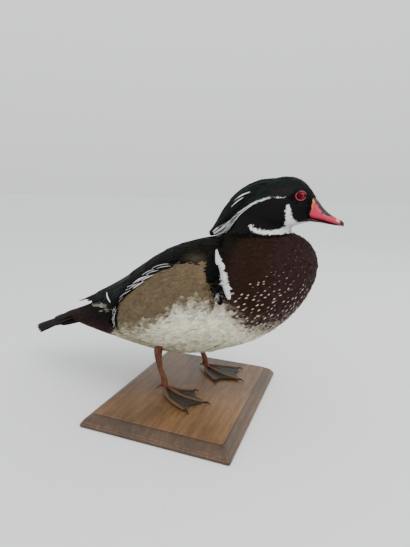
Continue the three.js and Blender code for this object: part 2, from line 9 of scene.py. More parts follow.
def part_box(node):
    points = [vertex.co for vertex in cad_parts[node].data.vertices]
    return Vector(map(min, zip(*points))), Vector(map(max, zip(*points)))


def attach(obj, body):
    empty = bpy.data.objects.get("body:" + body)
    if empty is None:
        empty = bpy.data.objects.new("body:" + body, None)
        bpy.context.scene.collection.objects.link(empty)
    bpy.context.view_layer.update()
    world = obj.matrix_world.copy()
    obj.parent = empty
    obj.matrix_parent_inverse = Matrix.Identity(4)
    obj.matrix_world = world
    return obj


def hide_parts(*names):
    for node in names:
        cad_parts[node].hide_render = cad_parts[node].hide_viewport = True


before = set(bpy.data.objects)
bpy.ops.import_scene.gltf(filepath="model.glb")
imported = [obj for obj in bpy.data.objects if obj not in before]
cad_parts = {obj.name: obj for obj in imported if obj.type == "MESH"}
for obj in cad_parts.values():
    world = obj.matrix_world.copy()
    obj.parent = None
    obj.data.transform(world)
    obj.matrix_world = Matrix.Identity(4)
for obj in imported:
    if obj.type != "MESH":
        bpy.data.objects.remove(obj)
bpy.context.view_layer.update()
mm = 0.001
rng = np.random.default_rng(7)
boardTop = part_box("base_board")[1].z
birdOrigin = np.array([-0.011, 0.0165, boardTop])  # on the board, where the bird's own measures start
leftAndRight = (("left", 1), ("right", -1))
print("frame loaded")


# Tools for materials

def newMaterial(name, **values):
    material = bpy.data.materials.new(name)
    material.use_nodes = True
    shader = material.node_tree.nodes["Principled BSDF"]
    for key, value in values.items():
        shader.inputs[key.replace("_", " ")].default_value = value
    return material, material.node_tree, shader


def feed(tree, node, feeds):  # an input holds a value, or follows another node's output
    for key, value in feeds.items():
        if isinstance(value, bpy.types.NodeSocket):
            tree.links.new(value, node.inputs[key])
        else:
            node.inputs[key].default_value = value


def addNode(tree, kind, feeds=None, **settings):
    node = tree.nodes.new(kind)
    for key, value in settings.items():
        setattr(node, key, value)
    feed(tree, node, feeds or {})
    return node


def addMath(tree, operation, *values):
    return addNode(tree, "ShaderNodeMath", dict(enumerate(values)), operation=operation).outputs[0]


def addBump(tree, shader, strength, distance, height):
    bump = addNode(tree, "ShaderNodeBump", {"Strength": strength, "Distance": distance, "Height": height})
    feed(tree, shader, {"Normal": bump.outputs[0]})


def tintOf(tree):
    return addNode(tree, "ShaderNodeAttribute", attribute_name="tint").outputs["Color"]


# Camera, floor and light

camera = {"place": (0.1541, -0.3758, 0.2202), "turn": 20.352, "down": 11.314, "roll": 1.2236, "lens": 26.33}
cameraData = bpy.data.cameras.new("photoCamera")
cameraData.lens = camera["lens"]
cameraData.sensor_width = 36
cameraData.clip_start = 0.01
cameraObject = bpy.data.objects.new("photoCamera", cameraData)
bpy.context.scene.collection.objects.link(cameraObject)
turnMatrix = Matrix.Rotation(math.radians(camera["turn"]), 4, "Z")
tiltMatrix = Matrix.Rotation(math.radians(90 - camera["down"]), 4, "X")
rollMatrix = Matrix.Rotation(math.radians(camera["roll"]), 4, "Z")
cameraObject.matrix_world = Matrix.Translation(camera["place"]) @ turnMatrix @ tiltMatrix @ rollMatrix
bpy.context.scene.camera = cameraObject

studio = {"floor": (0.865, 0.88, 0.88), "horizon": (1.0, 1.015, 1.025), "zenith": (1.2, 1.22, 1.22),
          "skyStrength": 0.98, "key": 11.5, "fill": 0.8, "rim": 1.2}
bpy.ops.mesh.primitive_plane_add(size=30)
floor = bpy.context.object
floor.name = "studioFloor"
floor.data.materials.append(newMaterial("floorPaper", Base_Color=(*studio["floor"], 1), Roughness=0.9)[0])


def addLight(name, power, size, place, aim, colour=(1, 1, 1)):
    data = bpy.data.lights.new(name, "AREA")
    data.energy = power
    data.size = size
    data.color = colour
    light = bpy.data.objects.new(name, data)
    bpy.context.scene.collection.objects.link(light)
    light.location = place
    light.rotation_euler = (Vector(aim) - Vector(place)).to_track_quat("-Z", "Y").to_euler()


addLight("keyLight", studio["key"], 0.9, (0.9, -0.5, 1.25), (0, 0, 0.1), (1, 0.98, 0.95))
addLight("fillLight", studio["fill"], 1.2, (-0.8, -1.1, 0.8), (0, 0, 0.1), (0.93, 0.97, 1))
addLight("rimLight", studio["rim"], 0.8, (0.4, 1.1, 0.9), (0, 0, 0.12))
world = bpy.data.worlds.new("studioWorld")
world.use_nodes = True
worldTree = world.node_tree  # the backdrop grows lighter upwards
direction = addNode(worldTree, "ShaderNodeTexCoord")
split = addNode(worldTree, "ShaderNodeSeparateXYZ", {0: direction.outputs["Generated"]})
height = addNode(worldTree, "ShaderNodeMapRange", {"Value": split.outputs["Z"], "From Max": 0.35})
tones = {"Factor": height.outputs[0], 6: (*studio["horizon"], 1), 7: (*studio["zenith"], 1)}
backdrop = addNode(worldTree, "ShaderNodeMix", tones, data_type="RGBA")
sky = {"Color": backdrop.outputs[2], "Strength": studio["skyStrength"]}
feed(worldTree, worldTree.nodes["Background"], sky)
bpy.context.scene.world = world


# Tools for shaping

def makeActive(piece):
    if bpy.context.object and bpy.context.object.mode != "OBJECT":
        bpy.ops.object.mode_set(mode="OBJECT")
    bpy.ops.object.select_all(action="DESELECT")
    piece.select_set(True)
    bpy.context.view_layer.objects.active = piece


def editAll(piece, *steps):  # each step with its settings, on the whole mesh
    makeActive(piece)
    bpy.ops.object.mode_set(mode="EDIT")
    bpy.ops.mesh.select_all(action="SELECT")
    for step, settings in steps:
        step(**settings)
    bpy.ops.object.mode_set(mode="OBJECT")


def applyModifier(piece, kind, **settings):
    makeActive(piece)
    modifier = piece.modifiers.new(kind.lower(), kind)
    for key, value in settings.items():
        setattr(modifier, key, value)
    bpy.ops.object.modifier_apply(modifier=modifier.name)


def copyNodes(name, nodeNames):  # one mesh from copies of CAD nodes, with its doubles merged
    copies = []
    for nodeName in nodeNames:
        part = bpy.data.objects.new(name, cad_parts[nodeName].data.copy())
        bpy.context.scene.collection.objects.link(part)
        copies.append(part)
    makeActive(copies[0])
    for part in copies:
        part.select_set(True)
    bpy.ops.object.join()
    piece = bpy.context.object
    piece.name = name
    piece.data.materials.clear()
    editAll(piece, (bpy.ops.mesh.remove_doubles, {"threshold": 0.00002}))
    return piece


def meshArrays(piece):
    mesh = piece.data
    points = np.empty(len(mesh.vertices) * 3)
    mesh.vertices.foreach_get("co", points)
    normals = np.empty(len(mesh.vertices) * 3)
    mesh.vertices.foreach_get("normal", normals)
    return points.reshape(-1, 3), normals.reshape(-1, 3)


def setPoints(piece, points):
    piece.data.vertices.foreach_set("co", np.ascontiguousarray(points, np.float32).ravel())
    piece.data.update()


def smoothAll(piece):
    piece.data.polygons.foreach_set("use_smooth", np.ones(len(piece.data.polygons), bool))


def newPiece(name, points, faces, material):
    mesh = bpy.data.meshes.new(name)
    mesh.from_pydata(points.tolist(), [], faces)
    mesh.materials.append(material)
    piece = bpy.data.objects.new(name, mesh)
    bpy.context.scene.collection.objects.link(piece)
    smoothAll(piece)
    return piece


def seat(piece, slot, stands):  # on the bird's one body, in place of these CAD nodes
    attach(piece, "root")
    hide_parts(*stands)
    print(piece.name, "made,", len(piece.data.polygons), "faces")


def paintUv(piece, vane, bake):
    loopPoint = np.empty(len(piece.data.loops), int)
    piece.data.loops.foreach_get("vertex_index", loopPoint)
    for label, values in (("vane", vane), ("OFBake", bake)):
        layer = piece.data.uv_layers.new(name=label)
        layer.data.foreach_set("uv", np.ascontiguousarray(values[loopPoint], np.float32).ravel())


def gridCells(rows, columns):
    cells = []
    for r in range(rows - 1):
        for c in range(columns - 1):
            start = r * columns + c
            cells.append([start, start + 1, start + 1 + columns, start + columns])
    return np.array(cells)


def paint(piece, colours, name="tint"):
    layer = piece.data.color_attributes.new(name, "FLOAT_COLOR", "POINT")
    rgba = np.ones((len(colours), 4), np.float32)
    rgba[:, :3] = colours
    layer.data.foreach_set("color", rgba.ravel())


def smoothStep(low, high, value):
    share = np.clip((value - low) / (high - low), 0, 1)
    return share * share * (3 - 2 * share)


def mix(one, two, share):
    share = np.asarray(share)[..., None]
    return np.asarray(one) * (1 - share) + np.asarray(two) * share


def linear(red, green, blue):  # a screen colour of 0 to 255 as light
    values = np.array([red, green, blue]) / 255
    return np.where(values < 0.04045, values / 12.92, ((values + 0.055) / 1.055) ** 2.4)


def wobble(points, size, seed=0):  # soft noise from a few crossed waves, about -1 to 1
    total = np.zeros(len(points))
    local = np.random.default_rng(seed)
    for step in range(7):
        wave = local.normal(size=3)
        wave *= (0.7 + 0.25 * step) * 2 * math.pi / (size * np.linalg.norm(wave))
        total += np.sin(points @ wave + local.uniform(0, 6.28))
    return total / 3.2


def fill(colour, places):
    return np.tile(colour, (len(places), 1))


def oneTint(colour):
    return lambda places, *rest: fill(colour, places)


# Materials

def barbGroup():  # a feather's slanted barbs, cross bars and mottling
    tree = bpy.data.node_groups.new("featherBarbs", "ShaderNodeTree")
    sockets = {"INPUT": {"Tint": "Color", "Vane": "Vector", "Depth": "Float", "Bars": "Float"},
               "OUTPUT": {"Colour": "Color", "Height": "Float"}}
    for way, labels in sockets.items():
        for label, kind in labels.items():
            tree.interface.new_socket(label, in_out=way, socket_type="NodeSocket" + kind)
    entry = addNode(tree, "NodeGroupInput").outputs
    split = addNode(tree, "ShaderNodeSeparateXYZ", {0: entry["Vane"]}).outputs
    side = addMath(tree, "PINGPONG", split["X"], 0.5)
    slant = addMath(tree, "MULTIPLY_ADD", side, 0.55, split["Y"])
    join = addNode(tree, "ShaderNodeCombineXYZ", {0: slant})
    lines = {"Scale": 11, "Distortion": 1.5, "Vector": join.outputs[0]}
    wave = addNode(tree, "ShaderNodeTexWave", lines, wave_type="BANDS")
    place = addNode(tree, "ShaderNodeTexCoord").outputs["Object"]
    mottle = addNode(tree, "ShaderNodeTexNoise", {"Scale": 260, "Detail": 4, "Vector": place})
    both = addMath(tree, "MULTIPLY_ADD", wave.outputs["Fac"], 0.5, mottle.outputs["Fac"])
    # Depth darkens the gaps between the barbs, which is painted shade, and the mottling, which is a change of
    # tone; the same pattern feeds the bump
    low = addMath(tree, "SUBTRACT", 1, entry["Depth"])
    reach = {"Value": both, "From Min": 0.3, "From Max": 1.1, "To Min": low, "To Max": 1.12}
    shade = addNode(tree, "ShaderNodeMapRange", reach)
    crossLines = {"Scale": 2.2, "Distortion": 5, "Detail Scale": 2.5, "Vector": entry["Vane"]}
    bars = addNode(tree, "ShaderNodeTexWave", crossLines, wave_type="BANDS", bands_direction="Y")
    barLeft = addMath(tree, "SUBTRACT", 1, addMath(tree, "MULTIPLY", bars.outputs["Fac"], entry["Bars"]))
    strength = addMath(tree, "MULTIPLY", shade.outputs[0], barLeft)
    tinted = addNode(tree, "ShaderNodeVectorMath", {0: entry["Tint"], "Scale": strength}, operation="SCALE")
    addNode(tree, "NodeGroupOutput", {"Colour": tinted.outputs[0], "Height": both})
    return tree


barbTree = barbGroup()


def plumageMaterial(name, roughness, depth, sheen=0.0, gloss=None, bars=0.0, shine=0.15):
    material, tree, shader = newMaterial(name, Roughness=roughness, Sheen_Weight=sheen, Sheen_Roughness=0.5,
                                         Specular_IOR_Level=shine)
    vane = addNode(tree, "ShaderNodeUVMap", uv_map="vane")
    feeds = {"Depth": depth, "Bars": bars, "Tint": tintOf(tree), "Vane": vane.outputs[0]}
    barbs = addNode(tree, "ShaderNodeGroup", feeds, node_tree=barbTree)
    colour = barbs.outputs["Colour"]
    if gloss is not None:  # a dark feather's gloss turns with the light
        edge = addNode(tree, "ShaderNodeLayerWeight", {"Blend": 0.35})
        feeds = {"Factor": edge.outputs["Facing"], 6: colour, 7: (*gloss, 1)}
        colour = addNode(tree, "ShaderNodeMix", feeds, data_type="RGBA", blend_type="ADD").outputs[2]
    feed(tree, shader, {"Base Color": colour})
    addBump(tree, shader, 0.25, 0.0004, barbs.outputs["Height"])
    return material


softPlumage = plumageMaterial("softPlumage", 0.85, 0.22, sheen=0.02, shine=0.06)
flankPlumage = plumageMaterial("flankPlumage", 0.8, 0.2, bars=0.4)
headPlumage = plumageMaterial("headPlumage", 0.5, 0.3, shine=0.12)
wingPlumage = plumageMaterial("wingPlumage", 0.55, 0.35, gloss=tuple(linear(1, 4, 5)), shine=0.035)
tailPlumage = plumageMaterial("tailPlumage", 0.65, 0.35, shine=0.05)


# The bird's markings. Points come in the bird's own millimetres: x forward, y left, z up from the board.

plumage = {
    "belly": linear(228, 225, 202), "bellyShade": linear(156, 148, 122), "buff": linear(110, 94, 71),
    "buffDark": linear(90, 76, 54), "chestnut": linear(39, 25, 18), "chestnutLight": linear(58, 36, 29),
    "maroon": linear(43, 28, 27), "bronze": linear(22, 17, 9), "back": linear(10, 10, 7),
    "rump": linear(14, 9, 10), "undertail": linear(42, 18, 20), "black": linear(8, 8, 9),
    "green": linear(10, 25, 20), "purple": linear(36, 16, 30), "white": linear(250, 250, 248),
    "grey": linear(84, 78, 62), "fleck": linear(206, 188, 174), "dusty": linear(82, 70, 60),
}


def toBird(points):
    return (points - birdOrigin) / mm


def nearLine(points, route, halfWidths):  # 1 on a painted line in the side view, fading past its edge
    x, z = points[:, 0], points[:, 2]
    best = np.full(len(points), -9.0)
    for (ax, az), (bx, bz), wideA, wideB in zip(route, route[1:], halfWidths, halfWidths[1:]):
        share = ((x - ax) * (bx - ax) + (z - az) * (bz - az)) / ((bx - ax) ** 2 + (bz - az) ** 2)
        share = np.clip(share, 0, 1)
        away = np.hypot(x - ax - share * (bx - ax), z - az - share * (bz - az))
        best = np.maximum(best, wideA + (wideB - wideA) * share - away)
    return smoothStep(-0.5, 0.5, best)


headMarks = {  # each mark's line, x and z, and its half widths
    "brow": ([(101, 205.6), (94, 205.4), (87, 204.9), (80, 202.3), (72.6, 199.3), (66.4, 195.2),
              (59.8, 190.2), (53, 185), (44, 177.7), (33, 170)],
             [0.25, 0.4, 0.5, 0.6, 0.7, 0.8, 1.1, 1.8, 2.4, 2.4]),
    "cheek": ([(105, 199), (105.4, 195), (106, 189.4), (106.5, 182)], [0.9, 2.0, 2.8, 4.4]),
    "chin": ([(126, 183.2), (118, 181.6), (112, 180), (107, 178)], [1.4, 2.4, 3.2, 4.4]),
    "throat": ([(108, 183), (106, 177)], [4, 4]),
    "collar": ([(106, 177), (98.5, 173.9), (89, 172.6), (80, 172.8), (74.2, 174.9), (70.9, 178.4)],
               [2.8, 2.2, 2.0, 1.9, 1.7, 0.9]),
}


def headColour(points):
    x, y, z = points.T
    ragged = points + np.stack([wobble(points, 3, 11), 0 * y, wobble(points, 2.4, 12)], 1) * 0.45
    crown = smoothStep(205.5, 210, z + 0.3 * np.maximum(100 - x, 0))
    crown = crown * (0.75 + 0.3 * wobble(points, 16, 3)).clip(0, 1)
    colour = mix(fill(plumage["black"], points), plumage["green"], crown)
    violet = np.exp(-((x - 97) / 10) ** 2 - ((z - 211) / 4) ** 2)
    colour = mix(colour, plumage["purple"], violet * 0.8)
    for label, (route, widths) in headMarks.items():
        mark = nearLine(ragged, route, widths)
        if label == "brow":
            mark = mark * (np.abs(y) > 5)
        colour = mix(colour, plumage["white"], mark)
    return colour


bodyEdges = {
    "belly": [(-110, 46), (-95, 50), (-70, 62), (-57, 69), (-50, 71), (-37, 74), (-19, 81), (-5, 87), (6, 95),
              (16, 101), (28, 105), (39, 106), (54, 104), (62, 97), (70, 89), (82, 78), (95, 73), (108, 76),
              (120, 83), (130, 93)],
    "flankTop": [(-74, 60), (-60, 74), (-57, 92), (-51.6, 103), (-36, 117), (-20, 130.5), (-3, 139),
                 (11, 142.6), (22, 144), (31, 143.6), (37, 145)],
}
shoulderMarks = {
    "black": ([(39.5, 155), (43, 143), (46.5, 134), (51.5, 124), (55, 113)], [5, 6.6, 7, 6.2, 3.8]),
    "white": ([(45, 154), (47, 151), (51.2, 145), (55.4, 136), (59, 127), (62.5, 119)],
              [0.5, 1.1, 1.9, 2.2, 1.9, 1.3]),
}


def edgeAbove(points, line):  # height over a line across the side view
    route = np.array(bodyEdges[line], float)
    return points[:, 2] - np.interp(points[:, 0], route[:, 0], route[:, 1])


def bodyColour(points):
    x, y, z = points.T
    grain = wobble(points, 9, 1)
    streak = wobble(points * np.array([0.4, 1, 1]), 4.0, 2)
    colour = fill(plumage["back"], points)
    colour = mix(colour, plumage["bronze"], smoothStep(10, 40, x) * 0.9)
    chestnut = smoothStep(50, 64, x + 0.3 * (150 - z)) * smoothStep(178, 162, z - 0.25 * (x - 60))
    colour = mix(colour, mix(plumage["chestnut"], plumage["maroon"], smoothStep(85, 105, x)), chestnut)
    rusty = chestnut * 0.5 * smoothStep(0.1, 1, grain) * smoothStep(60, 100, x)
    colour = mix(colour, plumage["chestnutLight"], rusty)
    under = smoothStep(1, -1, edgeAbove(points, "flankTop"))
    flank = under * smoothStep(-61, -58, x + 0.3 * (z - 74)) * smoothStep(52, 47, x + 0.2 * (z - 130))
    buff = mix(plumage["buff"], plumage["buffDark"], smoothStep(-0.3, 1, grain) * 0.3)
    colour = mix(colour, buff, flank)
    greyPatch = np.exp(-((x - 27) / 9) ** 2 - ((z - 148) / 4) ** 2)
    colour = mix(colour, plumage["grey"], greyPatch * 0.6)
    rear = smoothStep(-60, -66, x + 1.2 * np.maximum(70 - z, 0))
    colour = mix(colour, mix(plumage["rump"], plumage["undertail"], smoothStep(76, 54, z)), rear)
    above = edgeAbove(points, "belly")
    spread = 7 + 4 * smoothStep(0, 20, x)
    rough = 3 + 3 * smoothStep(-5, 15, x) * smoothStep(64, 50, x)
    pale = smoothStep(spread, -spread, above + rough * grain + 4 * streak) * (1 - rear)
    fine = wobble(points * np.array([0.35, 1, 1]), 2.2, 6)
    # the belly's streaky mottling, and painted shade darker towards the rear and the underside
    shade = 0.5 * smoothStep(0, 1.2, streak + 0.6 * fine) + 0.8 * smoothStep(20, -50, x)
    shade = shade + 0.4 * smoothStep(-14, -40, above)
    belly = mix(plumage["belly"], plumage["bellyShade"], shade.clip(0, 1.3))
    scaly = smoothStep(0.1, 0.9, fine + 0.4 * grain) * smoothStep(-16, -3, above)
    scaly = scaly * smoothStep(38, 50, x) * 0.6
    belly = mix(belly, plumage["chestnutLight"], scaly)
    dusty = smoothStep(24, 2, above) * smoothStep(46, 60, x) * (0.55 + 0.35 * fine).clip(0, 1)
    colour = mix(colour, plumage["dusty"], dusty)  # greyer brown where the breast meets the belly
    colour = mix(colour, belly, pale)
    ragged = points + np.stack([grain, 0 * y, streak], 1) * 0.5
    colour = mix(colour, plumage["black"], nearLine(ragged, *shoulderMarks["black"]))
    route, widths = shoulderMarks["white"]
    return mix(colour, plumage["white"] * 0.75, nearLine(ragged, route, np.array(widths) * 0.5))


neckEdge = [(40, 165.5), (63, 166.2), (83, 167), (100, 169.5), (109, 173)]  # where the head's colours begin


def coatColour(points):
    x, y, z = points.T
    route = np.array(neckEdge)
    edge = np.interp(x, route[:, 0], route[:, 1])
    above = smoothStep(-0.7, 0.7, z - edge) * smoothStep(40, 46, x)
    above = above * smoothStep(113, 110, x - 1.3 * (z - 173))
    return mix(bodyColour(points), headColour(points), above)


# The skin: one surface for torso, neck, head and flank pads, inside the coat's depth

skin = {"voxel": 0.0016, "smooth": 6, "depthBody": 2.2, "depthHead": 0.6}
skinNodes = ["torso", "neck", "head", "flank_left", "flank_right"]
skinPiece = copyNodes("birdSkin", skinNodes)
applyModifier(skinPiece, "SOLIDIFY", thickness=0.0007, offset=0.0)
applyModifier(skinPiece, "REMESH", mode="VOXEL", voxel_size=skin["voxel"])
editAll(skinPiece, (bpy.ops.mesh.separate, {"type": "LOOSE"}))
shells = sorted(bpy.context.selected_objects, key=lambda shell: -len(shell.data.vertices))
skinPiece = shells[0]
for shell in shells[1:]:
    bpy.data.objects.remove(shell)
skinPiece.name = "birdSkin"
applyModifier(skinPiece, "SMOOTH", factor=0.6, iterations=skin["smooth"])
skinPoints, skinNormals = meshArrays(skinPiece)
birdPoints = toBird(skinPoints)
headShare = smoothStep(168, 180, birdPoints[:, 2]) * smoothStep(40, 60, birdPoints[:, 0])
skinDepth = skin["depthBody"] + (skin["depthHead"] - skin["depthBody"]) * headShare
skinPoints = skinPoints - skinNormals * skinDepth[:, None] * mm
setPoints(skinPiece, skinPoints)
unwrap = {"angle_limit": math.radians(66), "island_margin": 0.003}
editAll(skinPiece, (bpy.ops.mesh.quads_convert_to_tris, {}), (bpy.ops.uv.smart_project, unwrap))
skinPiece.data.uv_layers[0].name = "OFBake"
smoothAll(skinPiece)
# the skin that shows between the feathers is painted darker, as painted shade
paint(skinPiece, coatColour(toBird(skinPoints)) * 0.85)
skinPiece.data.materials.append(softPlumage)
seat(skinPiece, "plumage_body", skinNodes)

skinMesh = skinPiece.data
skinTris = np.empty(len(skinMesh.polygons) * 3, int)
skinMesh.polygons.foreach_get("vertices", skinTris)
skinTris = skinTris.reshape(-1, 3)
skinUv = np.empty(len(skinMesh.loops) * 2)
skinMesh.uv_layers["OFBake"].data.foreach_get("uv", skinUv)
skinUv = skinUv.reshape(-1, 3, 2)
skinPoints, skinNormals = meshArrays(skinPiece)
skinTree = BVHTree.FromPolygons(skinPoints.tolist(), skinTris.tolist())
corners = skinPoints[skinTris]
triArea = np.linalg.norm(np.cross(corners[:, 1] - corners[:, 0], corners[:, 2] - corners[:, 0]), axis=1) / 2


def scatterRoots(amount, keep):  # roots spread over the skin where keep says so
    centres = toBird(corners.mean(axis=1))
    weights = triArea * keep(centres)
    chosen = rng.choice(len(triArea), amount, p=weights / weights.sum())
    chosen.sort()
    first, second = rng.random(amount), rng.random(amount)
    fold = first + second > 1
    first[fold], second[fold] = 1 - first[fold], 1 - second[fold]
    shares = np.stack([1 - first - second, first, second], 1)[:, :, None]
    tri = skinTris[chosen]
    placed = (skinPoints[tri], skinNormals[tri], skinUv[chosen])
    return [(values * shares).sum(1) for values in placed]


def flowAt(points):  # the way the plumage lies
    x, y, z = points.T
    flow = np.tile(np.array([-1.0, 0, -0.42]), (len(points), 1))
    headPart = smoothStep(172, 182, z) * smoothStep(45, 60, x)
    nape = smoothStep(100, 60, x) * headPart
    flow[:, 2] += -0.05 * headPart - 0.55 * nape
    flow[:, 1] += 0.12 * np.sign(y) * (1 - headPart) * smoothStep(80, 130, x)
    return flow


def onSkin(points):  # the nearest place on the skin, and its normal
    places, normals = np.empty_like(points), np.empty_like(points)
    for i, point in enumerate(points):
        place, normal, _, _ = skinTree.find_nearest(point)
        places[i] = place
        normals[i] = normal
    return places, normals


def layCoat(name, roots, normals, uvs, spec):  # small feathers, each bent along the skin
    amount = len(roots)
    birdRoots = toBird(roots)
    flow = flowAt(birdRoots)
    flow += rng.normal(0, spec["stray"], flow.shape)
    flow -= normals * (flow * normals).sum(1)[:, None]
    flow /= np.linalg.norm(flow, axis=1)[:, None]
    size = (1 + rng.normal(0, 0.14, amount)).clip(0.6, 1.5) * spec["grow"](birdRoots)
    long = spec["long"] * size * mm
    wide = spec["wide"] * size * mm / 2
    half, _ = onSkin(roots + flow * (long * 0.5)[:, None])
    tip, tipNormal = onSkin(half + (half - roots))
    lift = (spec["lift"] * (1 + rng.normal(0, 0.25, amount)).clip(0.3, 1.8)) * mm
    rows = np.array(spec["rows"])
    columns = np.linspace(-1, 1, spec["columns"])
    allPoints = np.empty((amount, len(rows), len(columns), 3))
    across = np.cross(normals, flow)
    across /= np.linalg.norm(across, axis=1)[:, None]
    roll = rng.normal(0, spec["roll"], amount)
    middle = 2 * half - (roots + tip) / 2
    for r, (t, share) in enumerate(rows):
        a, b, c = (1 - t) ** 2, 2 * t * (1 - t), t * t
        centre = roots * a + middle * b + tip * c
        normal = normals * (1 - t) + tipNormal * t
        normal /= np.linalg.norm(normal, axis=1)[:, None]
        rise = -0.25 * mm + (lift + 0.25 * mm) * math.sin(min(1, t * 1.1) * math.pi / 2)
        for column, u in enumerate(columns):
            up = rise + (roll * u - 0.14 * abs(u)) * wide
            offset = across * (u * wide * share)[:, None] + normal * up[:, None]
            allPoints[:, r, column] = centre + offset
    count = len(rows) * len(columns)
    cells = gridCells(len(rows), len(columns))
    faces = (np.arange(amount)[:, None, None] * count + cells[None]).reshape(-1, 4)
    piece = newPiece(name, allPoints.reshape(-1, 3), faces.tolist(), spec["material"])
    t = np.repeat(rows[:, 0], len(columns))
    u = np.tile(columns, len(rows))
    paint(piece, spec["colour"](birdRoots, toBird(tip), t, u).reshape(-1, 3))
    vane = np.stack([np.tile((u + 1) / 2, amount), np.tile(t, amount)], 1)
    patch = 0.0015 * np.stack([np.tile(u, amount), np.tile(t * 2 - 1, amount)], 1)
    paintUv(piece, vane, np.repeat(uvs, count, axis=0) + patch)
    seat(piece, spec["slot"], spec["stands"])


def perFeather(colour, t):  # one colour a feather, a little darker to its root
    wave = 1 + rng.normal(0, 0.1, len(colour))
    along = 0.82 + 0.22 * t
    return (colour * wave[:, None]).clip(0, 1)[:, None, :] * along[None, :, None]


roundTip = [(0, 0.5), (0.4, 1.0), (0.75, 0.9), (1.0, 0.3)]
hairTip = [(0, 0.8), (0.55, 1.0), (1.0, 0.25)]
eyeSpec = {"x": 116.3, "z": 208, "radius": 4.7, "ring": 4.2, "ringThick": 0.6, "bare": 5.4}


def headArea(points):
    x, y, z = points.T
    aroundEye = np.hypot(x - eyeSpec["x"], z - eyeSpec["z"]) > eyeSpec["bare"]
    billBase = (x < 125.6) | (z > 206.8) | ((np.abs(y) < 3.6) & (z > 202))
    behindChin = smoothStep(112, 108, x - 1.25 * (z - 174))
    return smoothStep(169, 174, z) * (x > 42) * aroundEye * billBase * behindChin


def bodyArea(low, high):
    def keep(points):
        x = points[:, 0]
        share = (1 - headArea(points)) * smoothStep(low - 4, low, x)
        return share * smoothStep(high + 4, high, x) * (x < 137)
    return keep


def plainColour(birdRoots, tips, t, u):
    return perFeather(coatColour(tips), t)


def bareShoulder(points):  # the wing's own feathers lie here
    x = points[:, 0]
    over = smoothStep(3, 8, edgeAbove(points, "flankTop"))
    return 1 - 0.85 * over * smoothStep(-110, -90, x) * smoothStep(14, 0, x)


def flankArea(points):
    x, y, z = points.T
    on = smoothStep(2, 0.5, edgeAbove(points, "flankTop")) * smoothStep(-59, -56, x + 0.3 * (z - 74))
    return on * smoothStep(50, 46, x + 0.2 * (z - 130)) * smoothStep(-8, -2, edgeAbove(points, "belly"))


def bodySide(points):
    return bodyArea(-64, 52)(points) * (1 - flankArea(points)) * bareShoulder(points)


def breastColour(birdRoots, tips, t, u):  # pale tips where the chestnut meets the belly
    base = plainColour(birdRoots, tips, t, u)
    zone = np.exp(-((edgeAbove(birdRoots, "belly") - 8) / 11) ** 2) * smoothStep(44, 56, birdRoots[:, 0])
    zone = zone * smoothStep(-0.25, 0.4, wobble(tips * np.array([0.6, 1, 1]), 4.2, 31))
    return mix(base, plumage["fleck"] * 0.85, zone[:, None] * smoothStep(0.3, 0.7, t)[None, :])


coatBase = {"wide": 4.4, "lift": 1.0, "stray": 0.04, "roll": 0.1, "rows": roundTip, "columns": 3,
            "grow": lambda p: 1, "colour": plainColour, "material": softPlumage, "slot": "plumage_body",
            "stands": ["torso"]}
coats = {
    "headCoat": {"amount": 34000, "keep": headArea, "long": 5, "wide": 1.1, "lift": 0.45, "stray": 0.03,
                 "roll": 0.08, "rows": hairTip, "columns": 2, "material": headPlumage, "slot": "plumage_head",
                 "stands": ["head", "neck"], "grow": lambda p: 0.45 + 0.75 * smoothStep(128, 85, p[:, 0])},
    "breastCoat": {"amount": 15000, "keep": bodyArea(52, 140), "long": 8, "lift": 0.8, "colour": breastColour,
                   "grow": lambda p: 0.6 + 0.4 * smoothStep(170, 140, p[:, 2])},
    "sideCoat": {"amount": 15000, "keep": bodySide, "long": 11, "wide": 3.4, "lift": 1.1, "stray": 0.07,
                 "roll": 0.12, "stands": ["torso", "flank_left", "flank_right"]},
    "flankCoat": {"amount": 9000, "keep": flankArea, "long": 10, "roll": 0.08, "material": flankPlumage,
                  "stands": ["flank_left", "flank_right"]},
    "rearCoat": {"amount": 7500, "keep": bodyArea(-170, -64), "long": 12},
}
for name, spec in coats.items():
    layCoat(name, *scatterRoots(spec["amount"], spec["keep"]), {**coatBase, **spec})


# Pale flecks: narrow ticks in slanting rows on the breast, larger towards the belly

flecks = {"rowStep": 5.0, "columnStep": 5.6, "long": 7.0, "wide": 2.5}


def fleckRoots():
    places = []
    for row in range(32):
        height = 166 - row * flecks["rowStep"] * 0.86
        for side in (-1, 1):
            for column in range(19):
                angle = (column + 0.42 * row % 1) * flecks["columnStep"] / 52
                if angle > 1.6:
                    continue
                ray = np.array([math.cos(angle), side * math.sin(angle), 0])
                start = birdOrigin + np.array([75, 0, height + 2.5 * angle]) * mm + ray * 0.12
                start += rng.normal(0, 0.0011, 3)
                place, normal, index, _ = skinTree.ray_cast(Vector(start), Vector(-ray))
                if place is not None:
                    places.append((place, normal, index))
    return places


found = fleckRoots()
fleckPoints = np.array([tuple(place) for place, _, _ in found])
fleckBird = toBird(fleckPoints)
fleckTop = 165 - 0.95 * (122 - fleckBird[:, 0]).clip(0)
hold = (fleckBird[:, 0] > 66) & (fleckBird[:, 2] < fleckTop) & (fleckBird[:, 2] > 66)
fleckPoints = fleckPoints[hold]
fleckNormals = np.array([tuple(normal) for _, normal, _ in found])[hold]
fleckUvs = skinUv[[index for _, _, index in found]].mean(axis=1)[hold]


def fleckColour(birdRoots, tips, t, u):
    base = perFeather(coatColour(tips), t)
    height = birdRoots[:, 2]
    wide = 0.26 + 0.42 * smoothStep(152, 110, height)
    wide = wide * (1 + 0.3 * rng.normal(size=len(tips))).clip(0.3, 1.7)
    mark = ((t[None, :] > 0.55) & (t[None, :] < 0.95)) * (np.abs(u)[None, :] < wide[:, None])
    strength = (0.55 + 0.35 * smoothStep(155, 115, height)) * (0.75 + 0.25 * rng.random(len(tips)))
    return mix(base, plumage["fleck"], mark * strength[:, None])


